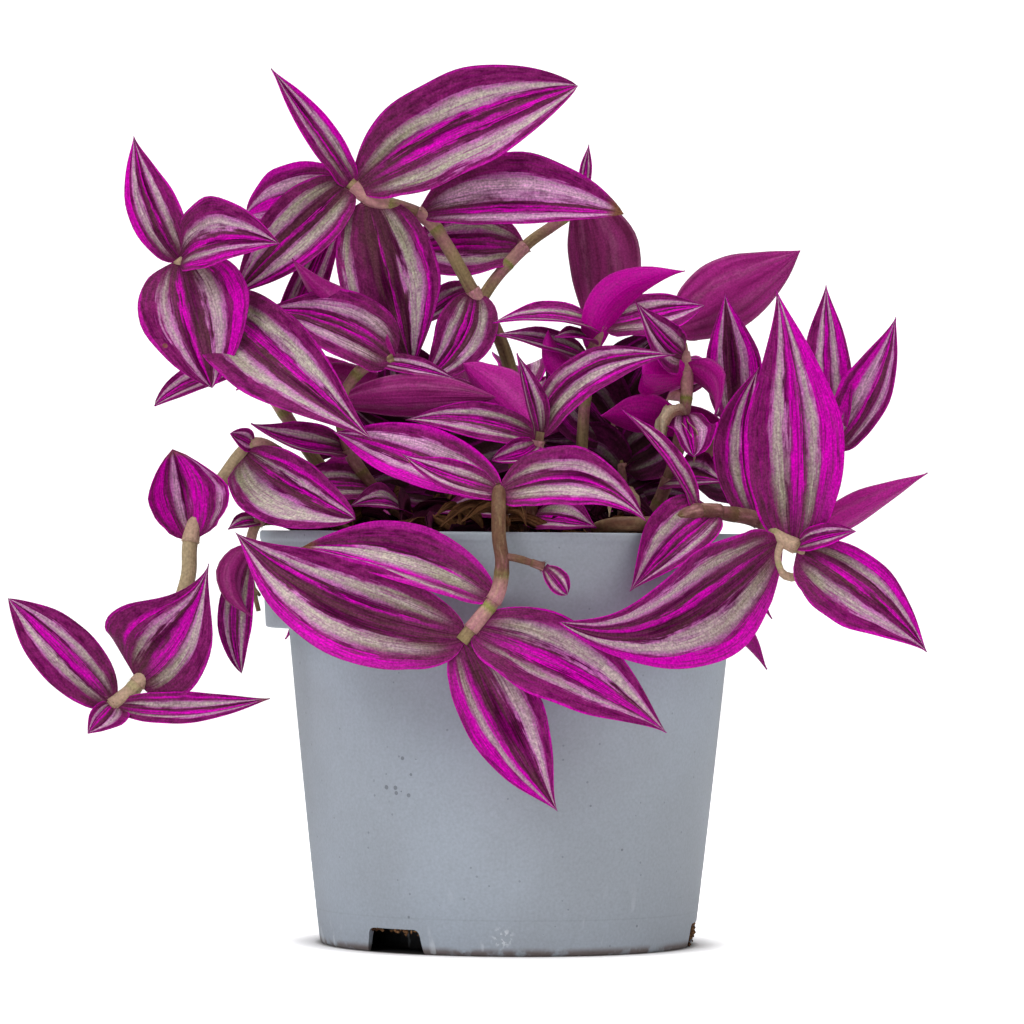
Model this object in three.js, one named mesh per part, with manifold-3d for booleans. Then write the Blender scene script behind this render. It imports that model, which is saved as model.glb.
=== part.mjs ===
// A potted tradescantia: a moulded nursery pot, its potting mix, and one solid for each leafy stem.
// Millimetres, +Z up. The origin is the centre of the pot's underside and the front of the pot is -Y.
import * as THREE from 'three';
import { mergeVertices } from 'three/addons/utils/BufferGeometryUtils.js';
import Module from 'manifold-3d';

const wasm = await Module();
wasm.setup();

// ---------------------------------------------------------------- driving sizes
const GAP = 0.3; // between solids that would touch
const WALL = 1.1; // pot wall
const FLOOR = 1.3; // pot floor
const POT_HEIGHT = 99.6;
const FOOT_RADIUS = 45.2;
const SHOULDER_RADIUS = 53.4; // top of the tapered wall
const SHOULDER_HEIGHT = 76.2; // where the collar steps out
const COLLAR_RADIUS = 59.0; // at its lower edge
const RIM_RADIUS = 60.9;
const RIM_EASE = 0.4; // taken off the rim's outer edge
const RIM_LAND = 0.8; // upright band at the rim's top
const LIP = 0.6; // the rim is this much thicker than the wall
const WALL_MIDDLE = 38; // height of a ring that follows the wall's slight belly
const CHANNEL_HEIGHT = 6.5; // drain channel round the floor
const CHANNEL_SLANT = 1.6; // the pad's side slopes outwards to the channel's roof
const PAD_RADIUS = 34; // flat floor that the pot stands on, inside the channel
const POT_SIDES = 32;

const NOTCH_HEIGHT = 5.8;
const NOTCH_WIDTH_TOP = 14;
const NOTCH_WIDTH_FOOT = 17;
const NOTCH_REACH = 9; // length of the cut, which starts inside the channel and ends outside the wall
const NOTCH_START = 5; // how far inside the wall's inner face the cut starts
const NOTCH_BELOW = 1; // how far the cut starts below the foot
const NOTCH_AZIMUTHS = [-126, -6, 114]; // degrees from +X, one third of a turn apart

const SOIL_EDGE = 93.2; // height of the mix at the wall
const SOIL_RISE = [[46, 1.2], [32, 2], [16, 2.8], [0, 2.8]]; // radius, and height above the mix's edge
const SOIL_CROWN = SOIL_EDGE + 2.8; // height of the mix in the middle
const SOIL_DRAFT = 0.085; // how much the mix narrows for each millimetre below the rim
const SOIL_STEP_GAP = 0.2; // extra room beside the collar's inner step
const LUMP = 0.9; // height of the lumps of mix
const LUMP_SINK = 0.4; // the lumped surface lies this much lower
const LUMP_LIMIT = SOIL_EDGE + 0.5; // only points above this height move
const SOIL_SIDES = POT_SIDES / 2; // its corners meet every other corner of the pot
const HOLE_FLOOR = 78; // depth that the stems' holes reach
const HOLE_TOP = SOIL_CROWN + 6; // clear of the mix
const HOLE_SIDES = 8;
const ROOT_TOP = 100.5; // height up to which a stem stands straight

const STEM_SIDES = 6;
const STEM_STEP = 12; // length of one tube segment
const BLADE_THICKNESS = 0.9;
const ROOT_HALF_WIDTH = 1.2; // of a blade where it clasps its stem
const LARGE_BLADE = 16; // wider blades have twice the columns
const SMALL_BLADE = 8; // narrower blades have fewer stations, as hidden ones do

// The eye that the front leaves were placed from, level with the rim.
const EYE_DISTANCE = 1340;
const EYE_HEIGHT = 98.9;

// ---------------------------------------------------------------- small helpers
const radians = THREE.MathUtils.degToRad;

function seededRandom(seed) {
  let state = seed >>> 0;
  return () => {
    state = (state * 1664525 + 1013904223) >>> 0;
    return state / 4294967296;
  };
}

function toSolid(geometry) {
  const bare = new THREE.BufferGeometry();
  bare.setAttribute('position', geometry.getAttribute('position'));
  if (geometry.index) bare.setIndex(geometry.index);
  const merged = mergeVertices(bare, 1e-4);
  return new wasm.Manifold(new wasm.Mesh({
    numProp: 3,
    vertProperties: new Float32Array(merged.getAttribute('position').array),
    triVerts: new Uint32Array(merged.index.array),
  }));
}

function toMesh(solid, name, material) {
  const { vertProperties, triVerts } = solid.getMesh();
  const geometry = new THREE.BufferGeometry();
  geometry.setAttribute('position', new THREE.BufferAttribute(new Float32Array(vertProperties), 3));
  geometry.setIndex(new THREE.BufferAttribute(new Uint32Array(triVerts), 1));
  geometry.computeVertexNormals();
  const mesh = new THREE.Mesh(geometry, material);
  mesh.name = name;
  return mesh;
}

function lathe(profile, sides) {
  const geometry = new THREE.LatheGeometry(profile.map(([r, z]) => new THREE.Vector2(r, z)), sides);
  geometry.rotateX(Math.PI / 2); // the lathe's Y becomes +Z
  return geometry;
}

// A point seen at (x, z) across the pot's axis, moved along its line of sight to depth y.
function sighted([x, y, z]) {
  const nearer = (EYE_DISTANCE + y) / EYE_DISTANCE;
  return new THREE.Vector3(x * nearer, y, EYE_HEIGHT + (z - EYE_HEIGHT) * nearer);
}

// ---------------------------------------------------------------- pot
function wallRadius(z) { // outside of the tapered wall
  return FOOT_RADIUS + (SHOULDER_RADIUS - FOOT_RADIUS) * (z / SHOULDER_HEIGHT) ** 0.92;
}

function makePot() {
  const step = SHOULDER_HEIGHT + WALL;
  const roof = CHANNEL_HEIGHT + FLOOR; // top of the drain channel, inside the pot
  const outside = [
    [0, 0], [PAD_RADIUS, 0], [PAD_RADIUS + CHANNEL_SLANT, CHANNEL_HEIGHT],
    [FOOT_RADIUS - WALL, CHANNEL_HEIGHT], [FOOT_RADIUS - WALL, 0], [FOOT_RADIUS, 0],
    [wallRadius(WALL_MIDDLE), WALL_MIDDLE], [SHOULDER_RADIUS, SHOULDER_HEIGHT],
    [COLLAR_RADIUS, SHOULDER_HEIGHT],
    [RIM_RADIUS - RIM_EASE, POT_HEIGHT - RIM_LAND], [RIM_RADIUS - RIM_EASE, POT_HEIGHT],
  ];
  const inside = [
    [RIM_RADIUS - WALL - LIP, POT_HEIGHT], [COLLAR_RADIUS - WALL, step],
    [SHOULDER_RADIUS - WALL, step - WALL],
    [wallRadius(WALL_MIDDLE) - WALL, WALL_MIDDLE], [wallRadius(CHANNEL_HEIGHT) - WALL, roof],
    [PAD_RADIUS + CHANNEL_SLANT - WALL, roof], [PAD_RADIUS - WALL, FLOOR], [0, FLOOR],
  ];
  let pot = toSolid(lathe([...outside, ...inside], POT_SIDES));
  const notch = new THREE.Shape([
    new THREE.Vector2(-NOTCH_WIDTH_FOOT / 2, -NOTCH_BELOW),
    new THREE.Vector2(NOTCH_WIDTH_FOOT / 2, -NOTCH_BELOW),
    new THREE.Vector2(NOTCH_WIDTH_TOP / 2, NOTCH_HEIGHT),
    new THREE.Vector2(-NOTCH_WIDTH_TOP / 2, NOTCH_HEIGHT),
  ]);
  for (const azimuth of NOTCH_AZIMUTHS) {
    const cutter = new THREE.ExtrudeGeometry(notch, { depth: NOTCH_REACH, bevelEnabled: false });
    cutter.rotateX(Math.PI / 2); // the outline stands up and the cut runs along -Y
    cutter.translate(0, -(FOOT_RADIUS - WALL - NOTCH_START), 0);
    cutter.rotateZ(radians(azimuth + 90));
    pot = pot.subtract(toSolid(cutter));
  }
  return pot;
}

// ---------------------------------------------------------------- soil
function makeSoil(stems) {
  const floor = FLOOR + GAP;
  const channel = CHANNEL_HEIGHT + floor;
  const topRadius = RIM_RADIUS - WALL - LIP - GAP - (POT_HEIGHT - SOIL_EDGE) * SOIL_DRAFT;
  const step = SHOULDER_HEIGHT + WALL + GAP;
  const geometry = lathe([
    [0, floor], [PAD_RADIUS - WALL - GAP, floor], [PAD_RADIUS + CHANNEL_SLANT - WALL - GAP, channel],
    [wallRadius(channel) - WALL - GAP, channel], [wallRadius(WALL_MIDDLE) - WALL - GAP, WALL_MIDDLE],
    [SHOULDER_RADIUS - WALL - GAP, step], [COLLAR_RADIUS - WALL - GAP - SOIL_STEP_GAP, step],
    [topRadius, SOIL_EDGE], ...SOIL_RISE.map(([radius, rise]) => [radius, SOIL_EDGE + rise]),
  ], SOIL_SIDES);
  const merged = mergeVertices(new THREE.BufferGeometry()
    .setAttribute('position', geometry.getAttribute('position')).setIndex(geometry.index), 1e-4);
  const points = merged.getAttribute('position');
  for (let i = 0; i < points.count; i += 1) { // lumps of mix
    const [x, y, z] = [points.getX(i), points.getY(i), points.getZ(i)];
    if (z > LUMP_LIMIT) points.setZ(i, z + LUMP * Math.sin(x * 0.31 + 1) * Math.cos(y * 0.27) - LUMP_SINK);
  }
  let soil = toSolid(merged);
  for (const { stalks } of stems) {
    const { path, radius } = stalks[0];
    const hole = new THREE.CylinderGeometry(radius + GAP, radius + GAP, HOLE_TOP - HOLE_FLOOR, HOLE_SIDES);
    hole.rotateX(Math.PI / 2);
    hole.translate(path[0].x, path[0].y, (HOLE_TOP + HOLE_FLOOR) / 2);
    soil = soil.subtract(toSolid(hole));
  }
  return soil;
}

// ---------------------------------------------------------------- stalks and leaves
// One stalk: a round tube through its points. A planted one stands on a straight root in the soil.
function stalk(points, radius, { seen = true, plant = false } = {}) {
  const path = points.map((p) => (seen ? sighted(p) : new THREE.Vector3(...p)));
  if (plant) path[0].z = ROOT_TOP - 1.5;
  return { path, radius, plant, curve: new THREE.CatmullRomCurve3(path, false, 'centripetal') };
}

function tubeSolid({ path, curve, radius, plant }) {
  const section = new THREE.Shape();
  for (let k = 0; k < STEM_SIDES; k += 1) {
    const angle = (k / STEM_SIDES) * 2 * Math.PI;
    const [x, y] = [radius * Math.cos(angle), radius * Math.sin(angle)];
    if (k === 0) section.moveTo(x, y);
    else section.lineTo(x, y);
  }
  section.closePath();
  const steps = Math.max(3, Math.round(curve.getLength() / STEM_STEP));
  const options = { extrudePath: curve, steps, bevelEnabled: false };
  const tube = toSolid(new THREE.ExtrudeGeometry(section, options));
  if (!plant) return tube;
  const height = ROOT_TOP - HOLE_FLOOR - GAP;
  const root = new THREE.CylinderGeometry(radius, radius, height, STEM_SIDES);
  root.rotateX(Math.PI / 2);
  root.translate(path[0].x, path[0].y, ROOT_TOP - height / 2);
  return tube.add(toSolid(root));
}

// One leaf, from its clasping base to its tip. `face` is where its upper side looks. arch bends the midrib
// towards that side and sway across it, hook moves the bend towards the tip, fold and cup raise the two
// halves, twist turns the blade along its length, wave ripples its edges, full widens its far half, lean
// makes the half on the left of its heading the wider one and tail draws out its tip. A hidden leaf is
// coarser than the others.
const FLAT = {
  arch: 0.06, sway: 0, hook: 0, fold: 0.22, cup: 0.3, twist: 0, wave: 0, full: 0, lean: 0, tail: 0,
  hidden: false,
};
function leaf(name, base, tip, width, face, form = {}) {
  const upper = new THREE.Vector3(...face);
  return { name, base: sighted(base), tip: sighted(tip), width, face: upper, ...FLAT, ...form };
}

function outline(s, full, tail) { // half width of a blade as a share of its widest
  const drawn = THREE.MathUtils.smoothstep(s, 0.4, 0.9);
  const swell = Math.sin(Math.PI * s ** (0.75 + 0.25 * full)) ** (0.62 + 0.55 * s * (1 - full));
  return swell * (1 - tail * drawn);
}

function bladeSolid(blade) {
  const { base, tip, width, arch, sway, hook, fold, cup, twist, wave, full, lean, tail, hidden } = blade;
  const chord = tip.clone().sub(base);
  const length = chord.length();
  const along = chord.clone().normalize();
  const up = blade.face.clone().addScaledVector(along, -blade.face.dot(along)).normalize();
  const across = up.clone().cross(along);
  const bend = up.clone().multiplyScalar(arch).addScaledVector(across, sway).multiplyScalar(length * 4 / 3);
  const midrib = new THREE.CubicBezierCurve3(
    base,
    base.clone().addScaledVector(chord, 1 / 3).addScaledVector(bend, 1 - hook),
    base.clone().addScaledVector(chord, 2 / 3).addScaledVector(bend, 1 + hook),
    tip,
  );
  const columns = width > LARGE_BLADE && !hidden ? 5 : 3;
  const stations = hidden || width < SMALL_BLADE ? [0, 0.2, 0.62, 1] : [0, 0.12, 0.34, 0.6, 0.84, 1];
  const positions = [];
  const rings = []; // for each station, the indices of its upper and lower points
  for (const s of stations) {
    const heading = midrib.getTangent(s);
    const side = up.clone().cross(heading).normalize().applyAxisAngle(heading, twist * (s - 0.2));
    const rise = heading.clone().cross(side);
    const half = s === 1 ? 0 : Math.max(ROOT_HALF_WIDTH, (width / 2) * outline(s, full, tail));
    const ring = { upper: [], lower: [] };
    const count = s === 1 ? 1 : columns;
    for (let j = 0; j < count; j += 1) {
      const t = count === 1 ? 0 : (2 * j) / (count - 1) - 1;
      const lift = (fold + (cup * Math.abs(t)) / 2) * Math.min(1, s * 6);
      const spread = half * (1 + lean * Math.sign(t));
      const ripple = wave * spread * t * t * Math.sin(s * 11 + (t > 0 ? 1.5 : 0));
      const middle = midrib.getPoint(s)
        .addScaledVector(side, spread * t * Math.cos(lift))
        .addScaledVector(rise, spread * Math.abs(t) * Math.sin(lift) + ripple);
      const flare = t === 0 ? 1 / Math.max(0.6, Math.cos(lift)) : Math.cos(lift);
      const outward = rise.clone().multiplyScalar(flare)
        .addScaledVector(side, -Math.sign(t) * Math.sin(lift))
        .multiplyScalar(BLADE_THICKNESS / 2);
      for (const [layer, sign] of [['upper', 1], ['lower', -1]]) {
        ring[layer].push(positions.length / 3);
        positions.push(...middle.clone().addScaledVector(outward, sign).toArray());
      }
    }
    rings.push(ring);
  }
  const triangles = [];
  const quad = (a, b, c, d) => triangles.push(a, b, c, a, c, d);
  for (let i = 0; i + 2 < rings.length; i += 1) {
    const [near, far] = [rings[i], rings[i + 1]];
    for (let j = 0; j + 1 < columns; j += 1) { // both faces are split along the same diagonal
      quad(near.upper[j], far.upper[j], far.upper[j + 1], near.upper[j + 1]);
      triangles.push(near.lower[j], near.lower[j + 1], far.lower[j + 1]);
      triangles.push(near.lower[j], far.lower[j + 1], far.lower[j]);
    }
    quad(near.upper[0], near.lower[0], far.lower[0], far.upper[0]);
    quad(near.lower[columns - 1], near.upper[columns - 1], far.upper[columns - 1], far.lower[columns - 1]);
  }
  const [last, point, root] = [rings[rings.length - 2], rings[rings.length - 1], rings[0]];
  for (let j = 0; j + 1 < columns; j += 1) {
    triangles.push(last.upper[j], point.upper[0], last.upper[j + 1]);
    triangles.push(last.lower[j], last.lower[j + 1], point.lower[0]);
    quad(root.upper[j], root.upper[j + 1], root.lower[j + 1], root.lower[j]);
  }
  quad(last.upper[0], last.lower[0], point.lower[0], point.upper[0]);
  quad(last.lower[columns - 1], last.upper[columns - 1], point.upper[0], point.lower[0]);
  const geometry = new THREE.BufferGeometry();
  geometry.setAttribute('position', new THREE.Float32BufferAttribute(positions, 3));
  geometry.setIndex(triangles);
  return toSolid(geometry);
}

// Moves a leaf's base onto the nearest point of its stem's stalks, so that its root is sunk in one.
function rootOnStalk(blade, stalks) {
  let best = null;
  for (const { curve } of stalks) {
    for (const point of curve.getSpacedPoints(120)) {
      const distance = point.distanceTo(blade.base);
      if (!best || distance < best.distance) best = { point, distance };
    }
  }
  return { ...blade, base: best.point };
}

// ---------------------------------------------------------------- the leafy stems that show from the front
const frontStems = [
  {
    name: 'stem_top',
    stalks: [
      stalk([[2, -4, 98], [1, -5, 120], [0, -6, 138], [-4.5, -7, 150], [-9.7, -8, 158.4],
        [-15.3, -10, 168.1], [-20.5, -10, 175.3], [-26, -10, 178], [-34.6, -10, 180],
        [-39.5, -10, 184]], 1.75, { plant: true }),
      stalk([[-7.8, -7.5, 155.3], [-4, -6, 161], [3.8, -4, 169.6], [10.4, -3, 174.4],
        [17, -2, 179.5]], 1.5),
    ],
    leaves: [
      leaf('d1', [-38.5, -10, 183.5], [-58.8, -13, 211.6], 11, [0.1, -1, 0.2],
        { fold: 0.6, arch: 0.05, sway: 0.01 }),
      leaf('d4', [-38, -11, 183], [15.6, -20, 208], 27.5, [0, -1, 0.25],
        { sway: 0.04, arch: 0.06, full: 0.7, lean: -0.06 }),
      leaf('d3', [-35, -10, 180], [-24, -11, 138.5], 26, [0, -1, 0.2], { arch: 0.05, full: 0.2 }),
      leaf('d2', [-39.5, -9, 184], [-68, -9, 156], 18, [0.1, -1, 0.2], { arch: 0.1 }),
      leaf('d5', [-39.5, -8, 183.5], [-64.6, 4, 176], 17, [0, -1, 0.3], { full: 0.9, fold: 0.1 }),
      leaf('e1', [-22.8, -10, 176], [27, -18, 177], 19, [0, -1, 0.3],
        { sway: 0.02, arch: 0.1, full: 0.6, lean: 0.3 }),
      leaf('i', [-9.8, -8, 157], [-21.8, -15, 135.6], 15.5, [0.1, -1, 0.25],
        { arch: 0.1, sway: 0.13, full: 0.2 }),
      leaf('j', [-11, -8, 157.5], [-22, 6, 150], 9, [-0.2, -0.9, 0.4]),
      leaf('e2', [2.5, -4, 168.8], [-23.5, 8, 168], 21, [0, -1, 0.25],
        { arch: 0.08, fold: 0.3, full: 0.8 }),
      leaf('f1', [17, -2, 179.5], [20, 0, 146], 19, [0.15, 1, 0.15],
        { arch: 0.1, sway: -0.05, full: 0.3, lean: -0.2 }),
      leaf('f2', [17, -2, 179], [18.4, 4, 193.7], 4, [0, -1, 0.1], { fold: 0.5 }),
    ],
  },
  {
    name: 'stem_upper_left',
    stalks: [
      stalk([[-30, 6, 98], [-46, 3, 115], [-60, -2, 136], [-72, -12, 154], [-81, -16, 165.5]], 1.7,
        { plant: true }),
    ],
    leaves: [
      leaf('c1', [-80.5, -16, 165], [-92, -17, 195], 13.5, [0, -1, 0.2], { fold: 0.25, sway: 0.06 }),
      leaf('c2', [-80, -16, 165], [-56.5, -38, 169.2], 18.5, [0, -1, 0.25],
        { arch: 0.12, full: 0.4, sway: 0.06, lean: 0.1 }),
      leaf('c3', [-80.5, -17, 165], [-72.5, -28, 134], 28.5, [-0.05, -1, 0.15],
        { arch: 0.1, full: 0.6, lean: 0.08 }),
      leaf('c5', [-72, -12, 154], [-33.6, -49, 121.7], 24, [-0.2, -1, 0.3], { arch: 0.08, lean: -0.15 }),
      leaf('c4', [-62, -4, 140], [-86.5, -10, 129.5], 9, [-0.1, -0.9, 0.6],
        { arch: 0.05, sway: -0.03, hook: 0.4, full: 0.8, fold: 0.3 }),
      leaf('c6', [-58, 0, 134], [-39, 5, 181], 11, [0.4, -0.9, 0], { sway: 0.06 }),
    ],
  },
  {
    name: 'stem_middle_left',
    stalks: [
      stalk([[-20, -16, 98], [-32, -18, 109], [-39.5, -20, 120], [-41, -20, 131], [-36, -20, 139],
        [-28.5, -20, 141.5]], 1.5, { plant: true }),
    ],
    leaves: [
      leaf('l8a', [-28, -20, 141], [-53.3, -30, 165.6], 12, [0.5, 0.8, 0.4], { fold: 0.4, sway: -0.12 }),
      leaf('l8b', [-28, -20, 141], [-62, -19, 153], 19, [0, -0.9, 0.4],
        { arch: 0.12, sway: -0.04, full: -0.5 }),
      leaf('k', [-40.5, -20, 130.8], [-3.6, -32, 132.3], 11.5, [0, 0.95, 0.3], { arch: 0.04, full: 0.4 }),
      leaf('k2', [-32, -20, 139.5], [-13, -22, 136.3], 6, [0, -0.8, 0.5]),
      leaf('v1', [-39.5, -19, 119], [-63, -24, 125.5], 13, [0, -0.7, 0.7], { arch: -0.12, fold: 0.5 }),
      leaf('v3', [-33, -18, 110], [-56, -22, 108.5], 12, [0, -0.8, 0.5], { arch: 0.1 }),
      leaf('low', [-24, -16, 103], [-39, -40, 105.5], 12, [0, -0.8, 0.6], { arch: 0.1 }),
    ],
  },
  {
    name: 'stem_left_trailing',
    stalks: [
      stalk([[-40, -14, 98], [-52, -18, 114], [-62, -21, 120], [-69.8, -24, 111.6], [-75.8, -27, 103],
        [-77.6, -28, 96], [-78, -29, 88], [-84, -32, 72], [-91, -35, 61], [-96.5, -36, 56.5]], 2,
        { plant: true }),
    ],
    leaves: [
      leaf('s1', [-77.6, -28, 97], [-82, -33, 119], 24.5, [0, -1, 0],
        { arch: -0.05, cup: 0.9, full: 0.9, lean: -0.2 }),
      leaf('s2', [-90, -35, 62.4], [-73, -42, 91.4], 28, [-0.1, -1, 0.1],
        { arch: 0.08, full: -0.6, sway: -0.11, lean: 0.22, tail: 0.15 }),
      leaf('s3', [-96, -36, 57.5], [-121.6, -40, 82.6], 16.5, [0.1, -1, 0.2],
        { arch: 0.06, full: 0.5, lean: 0.05 }),
      leaf('s4', [-96, -36, 57], [-102, -44, 50], 10, [-0.1, -1, 0.2], { fold: 0.3, full: 0.5, lean: 0.4 }),
      leaf('s5', [-95.5, -36, 56.5], [-57.9, -44, 58.8], 9, [0, -0.9, 0.5],
        { sway: -0.09, full: 0.2, fold: 0.15 }),
      leaf('u1', [-63.5, -22, 117.5], [-37.5, -53, 102.5], 19.5, [-0.2, -1, 0.3],
        { arch: 0.06, full: 1, sway: -0.04, lean: -0.25 }),
      leaf('v2', [-62, -21, 120.4], [-68, -27, 123], 6, [0, -1, 0.3], { full: 0.8 }),
    ],
  },
  {
    name: 'stem_left_low',
    stalks: [
      stalk([[-38, -24, 96], [-46, -27, 103], [-55, -30, 105], [-61.5, -31, 101], [-63.5, -31, 93]], 1.2,
        { plant: true }),
    ],
    leaves: [
      leaf('u2', [-61, -31, 101.7], [-68.4, -36, 99.8], 6, [0, -0.7, 0.7]),
      leaf('t1', [-63.5, -31, 95], [-62.5, -37, 78.5], 9, [-0.6, 0.8, 0.2], { sway: 0.24, fold: 0.4 }),
      leaf('t2', [-63.3, -31, 93], [-64.8, -28, 64.8], 9, [0.2, -1, 0.2], { sway: -0.1, full: 0.6 }),
    ],
  },
  {
    name: 'stem_front',
    stalks: [
      stalk([[-2, -44, 96], [-2.2, -50, 106], [-2.6, -57, 109.5], [-2.8, -64, 105], [-2.6, -66.5, 98],
        [-1.8, -67, 92], [-3, -67, 84.5], [-7, -67.5, 78.8], [-11.5, -68, 73]], 1.8, { plant: true }),
      stalk([[-1.9, -66.5, 93.8], [2, -68, 93.2], [8.4, -68.5, 91.2]], 0.9),
    ],
    leaves: [
      leaf('b', [-3, -57, 109.5], [-43, -31, 123.5], 17, [-0.1, -0.9, 0.45], { arch: 0.03, full: 0.2 }),
      leaf('c', [-3.5, -58, 109.5], [-26.5, -58, 118.3], 10, [-0.1, -0.8, 0.6], { sway: 0.1 }),
      leaf('d', [-2.5, -59, 108.5], [33, -63, 102.6], 17.5, [0, -0.85, 0.55],
        { sway: 0.1, arch: 0.14, hook: 0.2 }),
      leaf('q1', [-10, -68, 73.5], [-66.6, -54, 99], 25.5, [-0.15, -1, 0.3],
        { sway: 0.085, arch: 0.05, lean: 0.14 }),
      leaf('q2', [-3.6, -67, 83.5], [-50.5, -56, 95.5], 16.5, [-0.1, -0.9, 0.5], { sway: -0.06, full: 0.35 }),
      leaf('q3', [-8.4, -68, 76.2], [38.4, -66, 51.2], 22, [0, -1, 0.35],
        { arch: 0.06, sway: 0.04, lean: -0.08 }),
      leaf('q4', [-11, -68, 72.5], [12.1, -64, 32], 20.5, [0, -1, 0.3],
        { arch: 0.06, sway: -0.05, lean: 0.15 }),
      leaf('r1', [8.4, -68.5, 91], [14, -66, 84.5], 6, [0.2, -1, 0.2], { full: 0.8 }),
    ],
  },
  {
    name: 'stem_middle',
    stalks: [
      stalk([[5, -30, 98], [5.5, -33, 110], [6.5, -36, 121], [7, -36, 124]], 1.5, { plant: true }),
    ],
    leaves: [
      leaf('a', [5.5, -35, 122.5], [-25.5, -32, 126.6], 11, [0, -0.9, 0.45], { sway: -0.04, lean: 0.1 }),
      leaf('e', [6.6, -36, 122.4], [1.4, -37, 143], 9, [0.6, -0.8, 0.1], { fold: 0.6, sway: 0.05 }),
      leaf('f', [7, -36, 122.6], [39.8, -32, 143], 11.5, [0.1, -0.9, 0.4],
        { sway: 0.16, hook: -0.2, arch: 0.05 }),
      leaf('g', [5.5, -33, 123], [-11.6, -24, 140.5], 17.5, [0.3, 0.9, 0.4],
        { cup: 0.9, full: 0.9, sway: -0.08 }),
      leaf('bud', [5.5, -35, 121.5], [-4.5, -44, 117], 8.5, [0.2, -0.9, 0.5],
        { cup: 1, full: 1, sway: 0.12 }),
      leaf('rim', [5, -31, 103.5], [21, -54, 100.9], 13, [0, -0.9, 0.5], { arch: 0.02 }),
      leaf('rim_left', [5, -31, 104], [-18, -42, 104], 13, [0, -0.8, 0.7], { arch: 0.08 }),
    ],
  },
  {
    name: 'stem_upper_middle',
    stalks: [
      stalk([[16, -10, 98], [17, -13, 115], [18, -16, 132], [19.5, -17, 143], [22, -16, 150]], 1.5,
        { plant: true }),
    ],
    leaves: [
      leaf('h', [18, -16, 138], [8.8, -22, 148.7], 9, [-0.4, 0.8, -0.2],
        { cup: 0.8, sway: -0.15, full: 0.3 }),
      leaf('w3', [19, -17, 141.5], [-4, -20, 147.5], 9, [0, -0.7, 0.8], { arch: 0.06 }),
      leaf('h1', [19.5, -17, 143.5], [42, -26, 163.3], 10.3, [-0.3, 0.9, 0.2],
        { sway: -0.19, arch: 0.08, hook: -0.2 }),
      leaf('w1', [21.5, -16, 149], [-4.6, -24, 150.3], 11, [0, -0.6, 0.9], { arch: 0.09 }),
      leaf('w2', [20, -17, 146], [10.5, -26, 147], 8, [0, -0.6, 0.9]),
      leaf('i2', [22, -16, 150], [46.8, -10, 154.9], 14, [0, -0.8, 0.5],
        { arch: 0.05, lean: -0.3, full: 0.3 }),
    ],
  },
  {
    name: 'stem_upper_right',
    stalks: [
      stalk([[32, -12, 98], [38, -13, 112], [42, -14, 128], [42.5, -13, 139], [40, -10, 148],
        [37, -8, 152]], 1.5, { plant: true }),
    ],
    leaves: [
      leaf('i1', [38.5, -9, 150], [69.9, -8, 168.5], 20, [-0.2, 0.95, 0.3],
        { arch: 0.05, full: 0.3, sway: 0.06 }),
      leaf('i3', [41.5, -12.5, 143], [30, -33, 155.8], 12, [0.2, -1, 0.2], { sway: 0.08, lean: 0.15 }),
      leaf('j1', [42.5, -13.5, 138], [31.8, -28, 138], 14, [-0.3, 0.9, 0.2],
        { full: 0.8, cup: 0.5, arch: 0.03 }),
      leaf('j2', [42.8, -13, 140], [49.5, -25, 128.5], 13, [0.6, 0.6, 0.5], { full: 0.7, arch: 0.15 }),
      leaf('x1', [41.7, -14, 125], [21.8, -25, 128], 12, [0, 0.8, 0.5], { arch: 0.1 }),
      leaf('y3', [42, -14, 128.5], [44.5, -27, 118.2], 13, [0.2, -1, 0.2], { full: 0.9, wave: 0.3 }),
      leaf('z1', [38, -13, 112.5], [52, -27, 112], 15, [0, -0.8, 0.6]),
    ],
  },
  {
    name: 'stem_right',
    stalks: [
      stalk([[24, -38, 96], [21.5, -46, 100.4], [26, -51, 101.6], [35, -49, 102], [46, -43, 105],
        [52, -39, 104.6], [60, -37, 103], [66, -37, 98.5], [70, -37, 96.5]], 1.9, { plant: true }),
      stalk([[70, -37, 96.5], [72, -37, 92.5], [69.8, -37.5, 89.3], [66.2, -38, 90], [64.6, -38, 94],
        [66, -37, 98.3]], 1.1),
    ],
    leaves: [
      leaf('l1', [69.5, -37, 97.5], [64.2, -36, 158.8], 26, [0, -1, 0.1],
        { sway: -0.04, fold: 0.3, lean: 0.1, tail: 0.2 }),
      leaf('l2', [60, -37, 103], [60, -27, 140], 16, [0.25, -1, 0.1], { sway: 0.1, arch: -0.06 }),
      leaf('n1', [69.5, -37, 97], [101.2, -30, 114.8], 9.5, [-0.4, 0.9, 0.4],
        { arch: 0, hook: 0.5, fold: 0.3 }),
      leaf('n2', [69.8, -37, 96.8], [83.9, -46, 100.5], 7, [-0.2, -0.9, 0.4], { full: 0.5 }),
      leaf('o1', [70, -37, 96], [101.4, -42, 71.3], 21, [0.1, -1, 0.3],
        { arch: 0.06, sway: 0.055, lean: -0.35 }),
      leaf('p1', [66, -37, 97.5], [12.1, -78, 77.9], 28.5, [-0.1, -1, -0.2],
        { sway: 0.115, arch: 0.02, hook: 0.55, tail: 0.4, full: 0.65 }),
      leaf('p2', [50, -40, 104.5], [29.2, -58, 85.5], 16, [0, -1, 0.3], { arch: 0.08, lean: -0.25 }),
      leaf('y1', [45, -43, 105], [26.9, -40, 129.6], 8, [0.7, -0.7, 0.3], { fold: 0.5 }),
    ],
  },
  {
    name: 'stem_inner_left',
    stalks: [stalk([[-12, 2, 98], [-15, 3, 110], [-18, 4, 121]], 1.4, { plant: true })],
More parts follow.
